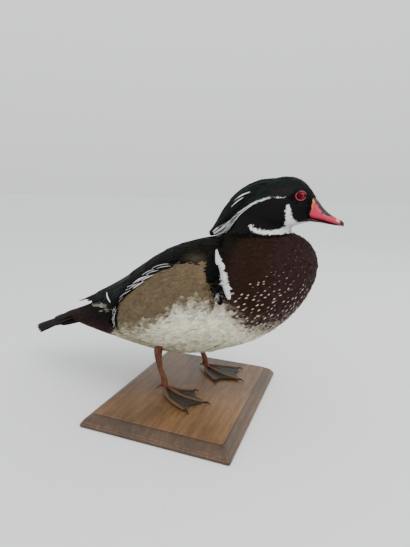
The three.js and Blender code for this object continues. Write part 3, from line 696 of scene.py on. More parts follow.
fleckSpec = {**coatBase, "long": flecks["long"], "wide": flecks["wide"], "lift": 1.5, "stray": 0.12,
             "roll": 0.05, "rows": [(0, 0.4), (0.5, 0.6), (0.68, 0.7), (0.86, 0.45), (1.0, 0.15)],
             "columns": 5, "colour": fleckColour, "grow": lambda p: 0.5 + 0.5 * smoothStep(160, 110, p[:, 2])}
layCoat("breastFlecks", fleckPoints, fleckNormals, fleckUvs, fleckSpec)


# Long feathers: each is a curved vane with a raised shaft, laid by a function of its own

class VaneSet:
    def __init__(self):
        self.points, self.faces, self.colours, self.vanes, self.cells = [], [], [], [], []
        self.total = 0

    def add(self, at, out, wide, colourOf, rows=9, tip=0.46, ragged=0.0, roll=0.0, root=0.45):
        columns = np.array([-1, -0.5, 0, 0.5, 1])
        ts = 1 - (1 - np.linspace(0, 1, rows)) ** 1.4
        grid = []
        for t in ts:
            along = at(min(1, t + 0.02)) - at(max(0, t - 0.02))
            along /= np.linalg.norm(along)
            up = out(t) - along * (out(t) @ along)
            up /= np.linalg.norm(up)
            across = np.cross(up, along)
            turned = up * math.cos(roll) + across * math.sin(roll)
            across = across * math.cos(roll) - up * math.sin(roll)
            up = turned
            share = root + (1 - root) * math.sin(min(1, t / 0.5) * math.pi / 2)
            if t > 1 - tip:
                share *= math.sqrt(max(0.03, 1 - ((t - 1 + tip) / tip) ** 2))
            for u in columns:
                jag = 1 + ragged * rng.normal() * abs(u) * t
                bend = 0.16 * wide * (0.25 - u * u)
                shaft = 0.22 if u == 0 else 0
                rise = up * (bend + shaft) * (1 if t < 0.96 else 0.3)
                grid.append(at(t) + across * u * wide * share * jag + rise)
        grid = np.array(grid)
        self.points.append(birdOrigin + grid * mm)
        self.faces.append(gridCells(rows, 5) + self.total)
        t = np.repeat(ts, 5)
        u = np.tile(columns, rows)
        self.colours.append(colourOf(t, u, grid))
        self.vanes.append(np.stack([(u + 1) / 2, t], 1))
        self.cells.append(np.full(len(grid), len(self.cells)))
        self.total += len(grid)

    def finish(self, name, material, slot, stands, thick=0.4):
        piece = newPiece(name, np.concatenate(self.points), np.concatenate(self.faces).tolist(), material)
        paint(piece, np.concatenate(self.colours))
        vane = np.concatenate(self.vanes)
        cell = np.concatenate(self.cells)
        side = math.ceil(math.sqrt(cell.max() + 1))
        bakeX = (cell % side + 0.08 + 0.84 * vane[:, 0]) / side
        bakeY = (cell // side + 0.08 + 0.84 * vane[:, 1]) / side
        paintUv(piece, vane, np.stack([bakeX, bakeY], 1))
        applyModifier(piece, "SOLIDIFY", thickness=thick * mm, offset=0.0)
        smoothAll(piece)
        seat(piece, slot, stands)


def through(table, x, column):  # a smooth value along a table's rows, by the first column
    rows = np.array(table, float)
    order = np.argsort(rows[:, 0])
    xs, ys = rows[order, 0], rows[order, column]
    i = int(np.clip(np.searchsorted(xs, x) - 1, 0, len(xs) - 2))
    t = (x - xs[i]) / (xs[i + 1] - xs[i])
    a, b, c, d = ys[max(i - 1, 0)], ys[i], ys[i + 1], ys[min(i + 2, len(ys) - 1)]
    return b + 0.5 * t * (c - a + t * (2 * a - 5 * b + 4 * c - d + t * (3 * (b - c) + d - a)))
def rowAt(table, place):  # all of a table's values at a place counted in rows
    rows = [(i, *row) for i, row in enumerate(table)]
    return np.array([through(rows, place, column) for column in range(1, len(table[0]) + 1)])

def sideSkin(x, z, side, lift):  # a point over the skin, found from the side
    start = Vector(birdOrigin + np.array([x, side * 120, z]) * mm)
    place, normal, _, _ = skinTree.ray_cast(start, Vector((0, -side, 0)))
    if place is None:
        return np.array([x, side * 40, z]), np.array([0, side, 0])
    return toBird(np.array([tuple(place)]))[0] + np.array(normal) * lift, np.array(normal)


# The folded wings lie on a form that runs past the body: x, top, half width, height
backForm = [(55, 170.5, 60.5, 60), (30, 166.5, 62.5, 62), (5, 160, 63, 62), (-20, 149.5, 61, 58),
            (-45, 134, 57, 50), (-70, 116.5, 50, 41), (-95, 101.3, 42, 33), (-120, 88.4, 33, 24),
            (-145, 77, 26, 15)]


def backPoint(x, turn, lift):
    top, wide, high = (through(backForm, x, column) for column in (1, 2, 3))
    return np.array([x, math.sin(turn) * (wide + lift), top - high + math.cos(turn) * (high + lift)])


# Each tier: how many, then x, turn, length and width from the back's middle to the lower edge, lift, and kind
wingTiers = [
    (9, (-56, -60), (0.12, 0.8), (84, 46), (4.2, 4.4), (-2.2, -1.0), "primary"),
    (9, (-44, -38), (0.6, 1.2), (50, 34), (6, 5.6), (-1.6, -0.2), "secondary"),
    (8, (-24, -22), (0.16, 0.7), (90, 66), (7.6, 7.6), (-1.6, 0.0), "tertial"),
    (13, (-18, -14), (0.14, 1.25), (44, 34), (6, 6), (-1.3, 0.4), "cover"),
    (14, (-4, -4), (0.15, 1.2), (36, 28), (5.6, 5.4), (-1.3, 0.5), "cover"),
    (14, (10, 8), (0.17, 1.2), (32, 24), (5.4, 5), (-1.3, 0.6), "cover"),
    (14, (24, 20), (0.2, 1.15), (28, 22), (5.2, 4.8), (-1.3, 0.6), "cover"),
    (13, (36, 30), (0.25, 1.1), (25, 20), (5, 4.6), (-1.5, 0.7), "brown"),
    (11, (46, 38), (0.3, 1.0), (22, 18), (4.8, 4.4), (-1.9, 0.7), "brown"),
]
wingTint = {"primary": linear(8, 9, 9), "secondary": linear(7, 11, 11), "tertial": linear(6, 8, 8),
            "cover": linear(7, 8, 6), "brown": linear(12, 10, 6), "edge": linear(20, 22, 20)}


def wingColour(kind, shade):
    def colourOf(t, u, grid):
        colour = fill(wingTint[kind] * shade, t)
        rim = smoothStep(0.7, 1.0, np.abs(u)) * 0.3 + smoothStep(0.9, 1, t) * 0.2
        colour = mix(colour, wingTint["edge"], rim.clip(0, 0.5))
        if kind == "brown":
            low = np.exp(-((grid[:, 0] - 26) / 10) ** 2 - ((grid[:, 2] - 147) / 4.5) ** 2)
            colour = mix(colour, plumage["grey"], low * 0.5)
        return colour
    return colourOf


downCount = 44


def sinkUnderFlank(point, side):  # a wing feather dives under the flank's upper edge
    if point[0] < -62 or point[0] > 50:
        return point
    dive = 9 * smoothStep(2.5, -7, edgeAbove(point[None], "flankTop")[0])
    return point - np.array([0, side * dive, 0])


for label, side in leftAndRight:
    vanes = VaneSet()
    for count, xs, turns, longs, wides, (low, high), kind in wingTiers:
        for i in range(count):
            share = i / (count - 1)
            x, turn, long, wide = (near + (far - near) * share for near, far in (xs, turns, longs, wides))
            x += rng.normal(0, 1.2)
            long += rng.normal(0, 1.5)

            def liftAt(t):
                return low + (high - low) * t ** 0.7

            def at(t):
                return sinkUnderFlank(backPoint(x - long * t, side * (turn + 0.01 * t), liftAt(t)), side)

            def out(t):
                place = x - long * t
                return backPoint(place, side * turn, liftAt(t) + 1) - backPoint(place, side * turn, liftAt(t))

            pointed = 0.85 if kind == "primary" else 0.5
            vanes.add(at, out, wide, wingColour(kind, 1 + rng.normal(0, 0.12)), roll=side * 0.05,
                      ragged=0.03, rows=9 if long > 50 else 7, tip=pointed)
    vanes.finish("wingFeathers_" + label, wingPlumage, "plumage_wing", ["wing_" + label])

    trim = VaneSet()  # one pale-edged feather, and down under the wing's tip

    def edgeAt(t):
        return backPoint(-83 + 10 * t + 5 * t * t, side * (0.72 + 0.42 * t), 1.2)

    def edgeOut(t):
        return backPoint(-80, side * 0.9, 2.2) - backPoint(-80, side * 0.9, 1.2)

    trim.add(edgeAt, edgeOut, 0.75, oneTint(plumage["white"] * 0.8), rows=7, root=0.3)
    for i in range(downCount):
        share = rng.random()
        x, z = -61 - 42 * share, 87 - 5.5 * share + 1.3 * rng.normal()
        aim = np.array([-1, 0, -0.1 + 0.15 * rng.normal()])
        long = 5 + 4 * rng.random()

        def downAt(t):
            return sideSkin(x + aim[0] * long * t, z + aim[2] * long * t, side, 1.6 + 1.2 * t)[0]

        def downOut(t):
            return np.array([0, side * 1.0, 0.35])

        tone = plumage["grey"] + (plumage["belly"] * 0.5 - plumage["grey"]) * rng.random() * (1 - 0.4 * share)
        trim.add(downAt, downOut, 1.0, oneTint(tone), rows=5, tip=0.7, ragged=0.1)
    trim.finish("wingTrim_" + label, softPlumage, "plumage_wing", ["wing_" + label], thick=0.2)


# The flank's plumes: black and white crescents nested along its upper and rear edge
plumeEdge = [(-59, 71), (-60, 80), (-57.5, 92), (-51.6, 103), (-43, 111), (-36, 117), (-28, 124), (-20, 130),
             (-10, 135.5), (2, 139.5)]
plumes = {"count": 12, "crescents": 7, "rows": [-0.9, 1.3, 3.4]}


def plumePoint(share, inward):
    last = len(plumeEdge) - 1
    place = min(max(share, 0), 1) * last
    x, z = rowAt(plumeEdge, place)
    along = rowAt(plumeEdge, min(place + 0.2, last)) - rowAt(plumeEdge, max(place - 0.2, 0))
    along /= np.linalg.norm(along)
    return np.array([x + along[1] * inward, z - along[0] * inward])


for label, side in leftAndRight:
    vanes = VaneSet()

    def addPlume(end, long, inward, lift, wide, tone, root, tip):
        def at(t):
            share = end + long * (1 - t)
            x, z = plumePoint(share, inward + 1.4 * (1 - t) ** 2)
            return sideSkin(x, z, side, lift + 0.8 * t)[0]

        def out(t):
            x, z = plumePoint(end + long * (1 - t), inward)
            return sideSkin(x, z, side, 0)[1]

        vanes.add(at, out, wide, oneTint(tone), rows=9, tip=tip, root=root)

    for i in range(plumes["count"]):
        end = -0.02 + 0.92 * i / (plumes["count"] - 1)
        addPlume(end, 0.2, 1.2 + rng.normal(0, 0.2), 1.9, 2.5, plumage["black"], 0.5, 0.5)
    for row, inward in enumerate(plumes["rows"]):
        for i in range(plumes["crescents"]):
            end = -0.01 + 0.95 * (i + 0.4 * row) / plumes["crescents"]
            bold = math.exp(-((end + 0.06 - 0.62) / 0.1) ** 2)
            if row == 2 and bold < 0.3:
                continue
            tone = plumage["white"] * (0.6 + 0.25 * rng.random())
            addPlume(end, 0.14 + 0.04 * rng.random(), inward + rng.normal(0, 0.15), 3.0 - 0.2 * row,
                     0.33 + 0.6 * bold + 0.06 * rng.random(), tone, 0.05, 0.8)
    vanes.finish("flankPlumes_" + label, flankPlumage, "plumage_flank", ["flank_" + label], thick=0.2)

    bars = VaneSet()  # the shoulder's white and black bars, in broad soft feathers
    for tone, count, width in (("black", 16, 4.2), ("white", 15, 3.4)):
        route, widths = shoulderMarks[tone]
        last = len(route) - 1
        for i in range(count):
            share = (count - 1 - i) / (count - 1) * 0.94
            x, z = rowAt(route, share * last)
            x += rng.normal(0, 0.25)
            lean = 0.5 if tone == "white" else 0.4 + 0.1 * rng.normal()

            def at(t):
                return sideSkin(x + lean * (9 * t - 3), z + 3 - 9 * t, side, 1.2 + 0.8 * t)[0]

            def out(t):
                return sideSkin(x, z, side, 0)[1]

            def colourOf(t, u, grid):
                if tone == "white":
                    return fill(plumage["white"] * 0.7, t)
                height = grid[:, 2]
                edge = np.exp(-((grid[:, 0] - 53.4) / 0.8) ** 2) * smoothStep(111, 114, height)
                edge = edge * smoothStep(124, 121, height)
                return mix(fill(plumage["black"], t), plumage["white"] * 0.6, edge)

            wide = width * float(np.interp(share * last, range(len(widths)), widths)) / max(widths)
            bars.add(at, out, wide, colourOf, rows=6, tip=0.35, root=0.6, ragged=0.03)
    bars.finish("shoulderBars_" + label, softPlumage, "plumage_body", ["torso"], thick=0.2)


# The tail: an arched fan, with coverts above and below
tailForm = {"root": -138, "tip": -207, "spread": 2.9, "rootTop": 68, "tipTop": 38, "arch": 0.11}
tailTiers = [  # how many, from, to, lift at root and tip, width, spread
    (14, 0.0, 1.0, (-2, 0.2), 6.6, 0.86),
    (12, -0.1, 0.6, (0, 1.7), 5.4, 0.85),
    (12, -0.24, 0.36, (0.8, 2.2), 5.2, 0.9),
    (12, -0.12, 0.6, (-9.5, -3.2), 5.4, 0.85),
    (12, -0.22, 0.4, (-13, -7), 5.4, 0.85),
]


def tailPoint(place, across, lift):
    form = tailForm
    x = form["root"] + (form["tip"] + 0.42 * across ** 2 * place - form["root"]) * place
    spread = 2.2 + (form["spread"] - 2.2) * place
    z = form["rootTop"] + (form["tipTop"] - form["rootTop"]) * place - form["arch"] * across ** 2 + lift
    return np.array([x, across * spread, z])


def tailColour(shade, tier):
    def colourOf(t, u, grid):
        base = linear(30, 27, 26) if tier == 0 else linear(26, 19, 20)
        return mix(fill(base * shade, t), linear(66, 60, 56), smoothStep(0.75, 1, np.abs(u)) * 0.35)
    return colourOf


vanes = VaneSet()
for tier, (count, begin, end, (low, high), wide, spread) in enumerate(tailTiers):
    for i in range(count):
        across = (i - (count - 1) / 2) * spread
        reach = end + rng.normal(0, 0.012)

        def at(t):
            place = begin + (reach - begin) * t
            return tailPoint(place, across, low + (high - low) * t - 0.12 * abs(across) * t)

        def out(t):
            return np.array([0.4, 0.045 * across, 1.0])

        tint = tailColour(1 + rng.normal(0, 0.12), tier)
        vanes.add(at, out, wide, tint, ragged=0.05, roll=0.05 * np.sign(across))
vanes.finish("tailFeathers", tailPlumage, "plumage_tail", ["tail"])


# The crest: long silky feathers swept down the nape, white along its lower edge
crestForm = [(95, 214.2, 11.6), (78, 209.4, 13.6), (63, 200.8, 13.2), (50.5, 189.6, 11), (40, 178.8, 7.8),
             (31, 170.5, 4.2), (25, 166.8, 1.6)]
crest = {"count": 330, "wide": 1.5, "turns": 2.2, "nape": 90}


def crestRow(place):
    return rowAt(crestForm, place * (len(crestForm) - 1))


def crestUp(place):
    here, there = crestRow(min(1, place + 0.01)), crestRow(max(0, place - 0.01))
    along = np.array([here[0] - there[0], 0, here[1] - there[1]])
    along /= np.linalg.norm(along)
    return np.array([-along[2], 0, along[0]]) * -1


def crestColour(turn, shade):
    def colourOf(t, u, grid):
        dark = smoothStep(0.9, 1.5, abs(turn)) * np.ones(len(t)) * 0.8
        return mix(fill(plumage["green"] * shade, t), plumage["black"], dark)
    return colourOf


vanes = VaneSet()
for i in range(crest["count"]):
    turn = crest["turns"] * (2 * rng.random() - 1)
    start = 0.02 + 0.55 * rng.random() ** 0.8
    end = min(1.0, start + 0.3 + 0.35 * rng.random())
    layer = rng.normal(0, 0.25)

    def out(t):
        return crestUp(start + (end - start) * t) * math.cos(turn) + np.array([0, math.sin(turn), 0])

    def at(t):
        x, z, radius = crestRow(start + (end - start) * t)
        lift = radius - 1.3 + (2.1 + layer) * t ** 0.6
        return np.array([x, 0, z]) + out(t) * lift

    wide = crest["wide"] * (1 + 0.2 * rng.normal())
    vanes.add(at, out, wide, crestColour(turn, 1 + rng.normal(0, 0.25)), rows=7, tip=0.6)
for i in range(crest["nape"]):  # the black nape under it
    start = np.array([58 - 6 * rng.random(), 15 * rng.random() - 7.5, 180 + 9 * rng.random()])
    end = np.array([30 + 16 * rng.random(), start[1] * 0.8, 166.5])
    bow = np.array([-3 - 3 * rng.random(), 0, 0])

    def at(t):
        return start * (1 - t) + end * t + bow * 4 * t * (1 - t)

    def out(t):
        return np.array([-0.6, start[1] * 0.12, 0.4])

    vanes.add(at, out, 1.5, oneTint(plumage["black"]), rows=6, tip=0.6)


crestBands = {  # white strands: x, z and half width, then how many, and width
    "low": ([(74, 199.6, 0.2), (66, 194.8, 0.5), (59, 189.6, 0.9), (52, 183.6, 1.9), (45, 177.2, 3.4),
             (38, 171.6, 4.4), (31, 167.6, 3.2)], 80, 0.75),
    "highOne": ([(70, 210.8, 0.2), (62, 208, 0.4), (55, 203.8, 0.5), (48, 198.2, 0.3)], 3, 0.36),
    "highTwo": ([(64, 206, 0.1), (57, 202, 0.3), (51, 197, 0.3), (46, 192, 0.2)], 2, 0.3),
}


def bandPoint(route, place, lane, side, lift):
    x, z, half = rowAt(route, place * (len(route) - 1))
    x, z = x - 0.6 * lane * half, z + 0.8 * lane * half
    skinSide = abs(sideSkin(x, z, side, 0)[0][1])
    axis, radius = through(crestForm, x, 1), through(crestForm, x, 2)
    crestSide = math.sqrt(max(0.2, (radius + 0.6) ** 2 - (0.76 * (z - axis)) ** 2))
    return np.array([x, side * (max(skinSide if skinSide < 39 else 0, crestSide) + lift), z])


for band, (route, count, width) in crestBands.items():
    for side in (1, -1):
        for i in range(count):
            lane = 2 * (i + 0.5) / count - 1
            start = 0.75 * rng.random() if band == "low" else 0.2 * rng.random()
            end = min(1.0, start + 0.35 + 0.4 * rng.random())
            dark = band == "low" and rng.random() < 0.12

            def at(t):
                lift = 1.2 + 0.6 * t + (0.4 if dark else 0)
                return bandPoint(route, start + (end - start) * t, lane, side, lift)

            def out(t):
                return np.array([-0.1, side, 0.3 + 0.4 * lane])

            tone = plumage["black"] if dark else plumage["white"] * (0.82 + 0.15 * rng.random())
            vanes.add(at, out, width * (0.5 if dark else 1), oneTint(tone), rows=7, tip=0.6, root=0.3)
vanes.finish("crestFeathers", headPlumage, "plumage_crest", ["crest"], thick=0.25)


# Closed forms lofted through rings of points, for bill, eyes, legs and board

class FormSet:
    def __init__(self):
        self.points, self.faces, self.colours, self.total = [], [], [], 0

    def loft(self, rings, colourOf):
        rings = np.asarray(rings, float)
        rows, sides = rings.shape[:2]
        ends = np.stack([rings[0].mean(0), rings[-1].mean(0)])
        points = np.concatenate([rings.reshape(-1, 3), ends])
        cells = []
        for r in range(rows - 1):
            for c in range(sides):
                a, b = r * sides + c, r * sides + (c + 1) % sides
                cells.append([a, b, b + sides, a + sides])
        for c in range(sides):
            cells.append([(c + 1) % sides, c, rows * sides])
            last = (rows - 1) * sides
            cells.append([last + c, last + (c + 1) % sides, rows * sides + 1])
        self.points.append(points)
        self.faces += [[index + self.total for index in cell] for cell in cells]
        self.colours.append(colourOf(points))
        self.total += len(points)

    def tube(self, route, radii, colourOf, sides=14, steps=6, flat=1.0):
        table = np.column_stack([np.array(route, float), np.array(radii, float)])
        marks = np.linspace(0, len(table) - 1, (len(table) - 1) * steps + 1)
        line = np.array([rowAt(table, mark) for mark in marks])
        along = np.gradient(line[:, :3], axis=0)
        along /= np.linalg.norm(along, axis=1)[:, None]
        level = np.array([0.0, 0, 1]) if abs(along[:, 2]).mean() < 0.7 else np.array([1.0, 0.2, 0])
        side = np.cross(along, level)
        side /= np.linalg.norm(side, axis=1)[:, None]
        up = np.cross(side, along)
        turns = np.linspace(0, 2 * math.pi, sides, endpoint=False)
        sideways = side[:, None] * np.cos(turns)[None, :, None]
        upwards = up[:, None] * np.sin(turns)[None, :, None] * flat
        rings = line[:, None, :3] + line[:, None, 3:] * (sideways + upwards)
        self.loft(rings, colourOf)

    def finish(self, name, material, slot, stands):
        piece = newPiece(name, birdOrigin + np.concatenate(self.points) * mm, self.faces, material)
        paint(piece, np.concatenate(self.colours))
        editAll(piece, (bpy.ops.mesh.normals_make_consistent, {"inside": False}))
        seat(piece, slot, stands)
        return piece


def hardMaterial(name, roughness, coat, grainSize, grainDepth, shine=0.5):  # horn, skin and glass
    material, tree, shader = newMaterial(name, Roughness=roughness, Coat_Weight=coat, Coat_Roughness=0.08,
                                         Specular_IOR_Level=shine)
    feed(tree, shader, {"Base Color": tintOf(tree)})
    if grainDepth > 0:
        place = addNode(tree, "ShaderNodeTexCoord").outputs["Object"]
        feeds = {"Scale": grainSize, "Vector": place}
        grain = addNode(tree, "ShaderNodeTexVoronoi", feeds, feature="DISTANCE_TO_EDGE")
        edge = addNode(tree, "ShaderNodeMapRange", {"Value": grain.outputs["Distance"], "From Max": 0.12})
        addBump(tree, shader, 0.7, grainDepth, edge.outputs[0])
    return material


hornMaterial = hardMaterial("billHorn", 0.35, 0.1, 300, 0.00004, 0.35)
legMaterial = hardMaterial("legSkin", 0.5, 0.05, 650, 0.0002, 0.35)
lidMaterial = hardMaterial("lidSkin", 0.4, 0.2, 1500, 0.00012)
glassMaterial = hardMaterial("eyeGlass", 0.06, 0.05, 1, 0, 0.12)


# The bill

billUpper = [(122, 208.6, 188.6, 9.6), (126.3, 207.4, 187.8, 9.4), (131, 203.6, 186.7, 8.6),
             (136, 197.4, 185.7, 7.4), (141, 192.9, 184.5, 6.7), (146, 189.8, 183.3, 6.2),
             (150.5, 187.7, 182.4, 5.4), (153.4, 186.2, 181.3, 3.9), (155.2, 184.4, 180.9, 1.6)]
billLower = [(118, 190, 185.2, 7.2), (126, 188.6, 184.3, 7.2), (136, 186.4, 183.3, 5.8),
             (145, 184.2, 182, 4.8), (150.5, 183, 181.5, 3.2), (152.4, 182.3, 181.4, 1.2)]
nostril = {"x": 137.3, "z": 192.6}
billTint = {"red": linear(176, 18, 50), "pink": linear(196, 54, 88), "yellow": linear(200, 128, 44),
            "black": linear(14, 12, 13), "pale": linear(196, 170, 162), "dark": linear(44, 20, 22)}


def billRings(table, steps, round):
    rings = []
    for x in np.linspace(table[0][0], table[-1][0], steps):
        top, low, wide = (through(table, x, column) for column in (1, 2, 3))
        turns = np.linspace(0, 2 * math.pi, 36, endpoint=False)
        boxy = round - 0.4 * smoothStep(135, 127, x)
        across = np.sign(np.sin(turns)) * np.abs(np.sin(turns)) ** boxy * wide
        rise = np.cos(turns)
        level = low + 0.3 * (top - low)
        height = np.where(rise > 0, level + rise * (top - level), level + rise * (level - low))
        pinch = 1 - 0.3 * smoothStep(0.25, 1.0, rise) * smoothStep(150, 138, x) * smoothStep(127, 133, x)
        rings.append(np.stack([np.full(36, x), across * pinch, height], 1))
    return rings


def billColour(points):
    x, y, z = points.T
    tops = np.array([through(billUpper, value, 1) for value in x])
    depth = tops - z
    colour = mix(fill(billTint["red"], x), billTint["pink"], smoothStep(2, 7, depth) * 0.5)
    rear = x - 125.9 - 0.10 * (z - 198)
    colour = mix(colour, billTint["yellow"], smoothStep(1.9, 0.9, rear) * smoothStep(192, 200, z))
    ridge = np.interp(x, [126, 129, 133, 138, 141, 144], [1.2, 3.0, 4.6, 4.0, 3.0, 0.4])
    colour = mix(colour, billTint["black"], smoothStep(0.3, -0.3, depth - ridge) * (x < 144))
    pale = smoothStep(147.5, 149, x) * smoothStep(151.8, 151, x) * smoothStep(3.4, 2.2, depth)
    colour = mix(colour, billTint["pale"], pale * 0.8)
    colour = mix(colour, billTint["black"], smoothStep(151.4, 152.2, x))
    # the nostril's hollow is painted dark, as painted shade
    hole = np.hypot((x - nostril["x"]) / 2.6, (z - nostril["z"]) / 1.0)
    return mix(colour, billTint["dark"], smoothStep(1.15, 0.85, hole) * (np.abs(y) > 2.5))


bill = FormSet()
rings = np.array(billRings(billUpper, 60, 0.85))
sunken = np.hypot((rings[..., 0] - nostril["x"]) / 2.4, (rings[..., 2] - nostril["z"]) / 0.95)
rings[..., 1] *= 1 - 0.16 * smoothStep(1.1, 0.6, sunken)
bill.loft(rings, billColour)
bill.finish("billUpper", hornMaterial, "bill", ["bill_upper"])
jaw = FormSet()
jaw.loft(billRings(billLower, 26, 0.9), oneTint(billTint["dark"]))
jaw.finish("billLower", hornMaterial, "bill", ["bill_lower"])


# Eyes: a glass ball with a dark red iris, in a fleshy ring


eyeTint = {"iris": linear(140, 18, 36), "irisEdge": linear(40, 6, 10), "pupil": linear(3, 3, 4),
           "lid": linear(160, 40, 66), "lidCreaseShade": linear(90, 16, 32)}


def ballRings(centre, radius, side):  # rings from the outer pole inwards
    rings = []
    for turn in np.linspace(0.02, math.pi - 0.02, 40):
        around = np.linspace(0, 2 * math.pi, 40, endpoint=False)
        reach = math.sin(turn) * radius
        across = np.full(40, centre[1] + side * math.cos(turn) * radius)
        x, z = centre[0] + reach * np.cos(around), centre[2] + reach * np.sin(around)
        rings.append(np.stack([x, across, z], 1))
    return rings


def fromEye(points):
    return np.hypot(points[:, 0] - eyeSpec["x"], points[:, 2] - eyeSpec["z"])


def eyeColour(points):
    colour = mix(fill(eyeTint["iris"], points), eyeTint["irisEdge"], smoothStep(2.4, 3.7, fromEye(points)))
    return mix(colour, eyeTint["pupil"], smoothStep(1.7, 1.4, fromEye(points)))


# the ring's inner side, in the crease against the eye, is painted darker as painted shade
def lidColour(points):
    return mix(fill(eyeTint["lid"], points), eyeTint["lidCreaseShade"], smoothStep(4.3, 3.7, fromEye(points)))


for label, side in leftAndRight:
    eyeX, eyeZ = eyeSpec["x"], eyeSpec["z"]
    around = ((7, 0), (-7, 0), (0, 7), (0, -7))
    spots = [sideSkin(eyeX + dx, eyeZ + dz, side, 0)[0][1] for dx, dz in around]
    level = sum(spots) / 4  # the ring lies in the slope of the head around it
    slopeX, slopeZ = (spots[0] - spots[1]) / 14, (spots[2] - spots[3]) / 14
    ball = FormSet()
    ball.loft(ballRings(np.array([eyeX, level - side * 3.5, eyeZ]), eyeSpec["radius"], side), eyeColour)
    ball.finish("eye" + label.capitalize(), glassMaterial, "eye", ["eye_" + label])
    lid = FormSet()
    rings = []
    for turn in np.linspace(0, 2 * math.pi, 73):
        dx, dz = math.cos(turn) * eyeSpec["ring"], math.sin(turn) * eyeSpec["ring"] * 0.96
        centreLine = np.array([eyeX + dx, level + slopeX * dx + slopeZ * dz + side * 0.8, eyeZ + dz])
        spoke = np.array([math.cos(turn), 0, math.sin(turn)])
        thick = eyeSpec["ringThick"] * (1 + 0.12 * math.sin(turn * 17) * math.sin(turn * 5))
        around = np.linspace(0, 2 * math.pi, 12, endpoint=False)[:, None]
        outward = np.array([0, side * 0.8, 0])
        rings.append(centreLine + thick * (np.cos(around) * spoke + np.sin(around) * outward))
    lid.loft(rings, lidColour)
    lid.finish("lid" + label.capitalize(), lidMaterial, "eye", ["head"])


# Legs and feet

legTint = {"orange": linear(112, 62, 36), "dark": linear(26, 19, 16), "web": linear(46, 40, 29),
           "claw": linear(16, 13, 11), "toe": linear(98, 72, 46)}
feet = {
    "right": {"side": -1, "joint": (-11.5, -34, 7), "ankle": (-18, -35, 46), "hip": (-9, -35, 62),
              "toes": [[(6.5, -31.5), (20.5, -25)], [(15, -43.5), (41, -45)], [(3, -54), (28, -67.5)]]},
    "left": {"side": 1, "joint": (10, 33, 7), "ankle": (1, 35, 46), "hip": (10, 35, 62),
             "toes": [[(17, 20), (33, 4)], [(36, 21.5), (58.5, 17.5)], [(30, 42), (49.5, 47)]]},
}


def legColour(points):  # orange-brown, clouded with dark
    clouds = smoothStep(-0.2, 0.9, wobble(points, 7, 21))
    return mix(fill(legTint["orange"], points), legTint["dark"], clouds * 0.55)


def webColour(points):
    return mix(fill(legTint["web"], points), legTint["dark"], smoothStep(0.2, 1, wobble(points, 6, 9)) * 0.7)


for label, foot in feet.items():
    joint, ankle, hip = (np.array(foot[key], float) for key in ("joint", "ankle", "hip"))
    middle = joint * 0.5 + ankle * 0.5 + np.array([-1.8, 0, 0])

    def shankColour(points):  # dark down the back
        marks = [joint[2], 26, ankle[2]]
        line = np.interp(points[:, 2], marks, [joint[0], (joint[0] + ankle[0]) / 2 - 1.8, ankle[0]])
        behind = smoothStep(-0.6, -2.2, points[:, 0] - line + 0.6 * wobble(points, 8, 4))
        return mix(legColour(points), legTint["dark"], behind * 0.9)

    def toeColour(points):
        fromJoint = np.hypot(*(points - joint).T[:2])
        return mix(legColour(points), legTint["toe"], smoothStep(4, 22, fromJoint))

    shank = FormSet()
    shank.tube([joint + np.array([0, 0, -1]), joint + np.array([-0.6, 0, 7]), middle, ankle, hip],
               [3.6, 3.2, 2.9, 4.7, 5.5], shankColour, sides=20, steps=12)
    shank.finish("shank" + label.capitalize(), legMaterial, "leg", ["leg_" + label])
    toes = FormSet()
    lines = []
    for (viaX, viaY), (tipX, tipY) in foot["toes"]:
        via, tip = np.array([viaX, viaY, 3.2]), np.array([tipX, tipY, 2.0])
        line = np.array([rowAt([joint - [0, 0, 1.5], via, tip], mark) for mark in np.linspace(0, 2, 25)])
        lines.append(line)
        knuckles = [2.5, 1.7, 1.3, 1.6, 1.2, 1.1, 1.4, 1.05, 0.8]
        toes.tube(line[np.linspace(0, 23, 9).astype(int)], knuckles, toeColour, steps=3)
        aim = (line[-1] - line[-3]) / np.linalg.norm(line[-1] - line[-3])
        claw = [line[-3], line[-1] + aim * 1.5 + [0, 0, 0.5], line[-1] + aim * 4.2 + [0, 0, -1.3]]
        toes.tube(claw, [0.95, 0.8, 0.2], oneTint(legTint["claw"]), sides=8, steps=4)
    heelSteps = ((-1, 0, -1), (-5, foot["side"] * 1.8, -2), (-8, foot["side"] * 3.2, -4.8))
    toes.tube([joint + np.array(step) for step in heelSteps], [1.7, 1.2, 0.4], legColour, sides=10, steps=6)
    for one, two in zip(lines, lines[1:]):  # the webs, thin and creased, hollowed between the toes
        across = np.linspace(0, 1, 15)
        sheet = []
        for v in across:
            marks = np.linspace(0.5, 23 - 5.2 * math.sin(math.pi * v), 22)
            rails = [[np.interp(marks, np.arange(25), line[:, k]) for k in range(3)] for line in (one, two)]
            sheet.append((np.array(rails[0]) * (1 - v) + np.array(rails[1]) * v).T)
        sheet = np.array(sheet)
        crease = 0.35 * np.sin(across * 21)[:, None] * np.sin(math.pi * across)[:, None] + 0 * sheet[..., 2]
        sheet[..., 2] += crease - 0.9 * np.sin(math.pi * across)[:, None]
        upper, lower = sheet.copy(), sheet.copy()
        upper[..., 2] += 0.35
        lower[..., 2] -= 0.35
        rings = np.concatenate([upper.transpose(1, 0, 2), lower.transpose(1, 0, 2)[:, ::-1]], axis=1)
        rings[..., 2] = rings[..., 2].clip(0.4)
        toes.loft(rings, webColour)
    toes.finish("foot" + label.capitalize(), legMaterial, "foot", ["foot_" + label])


# The board

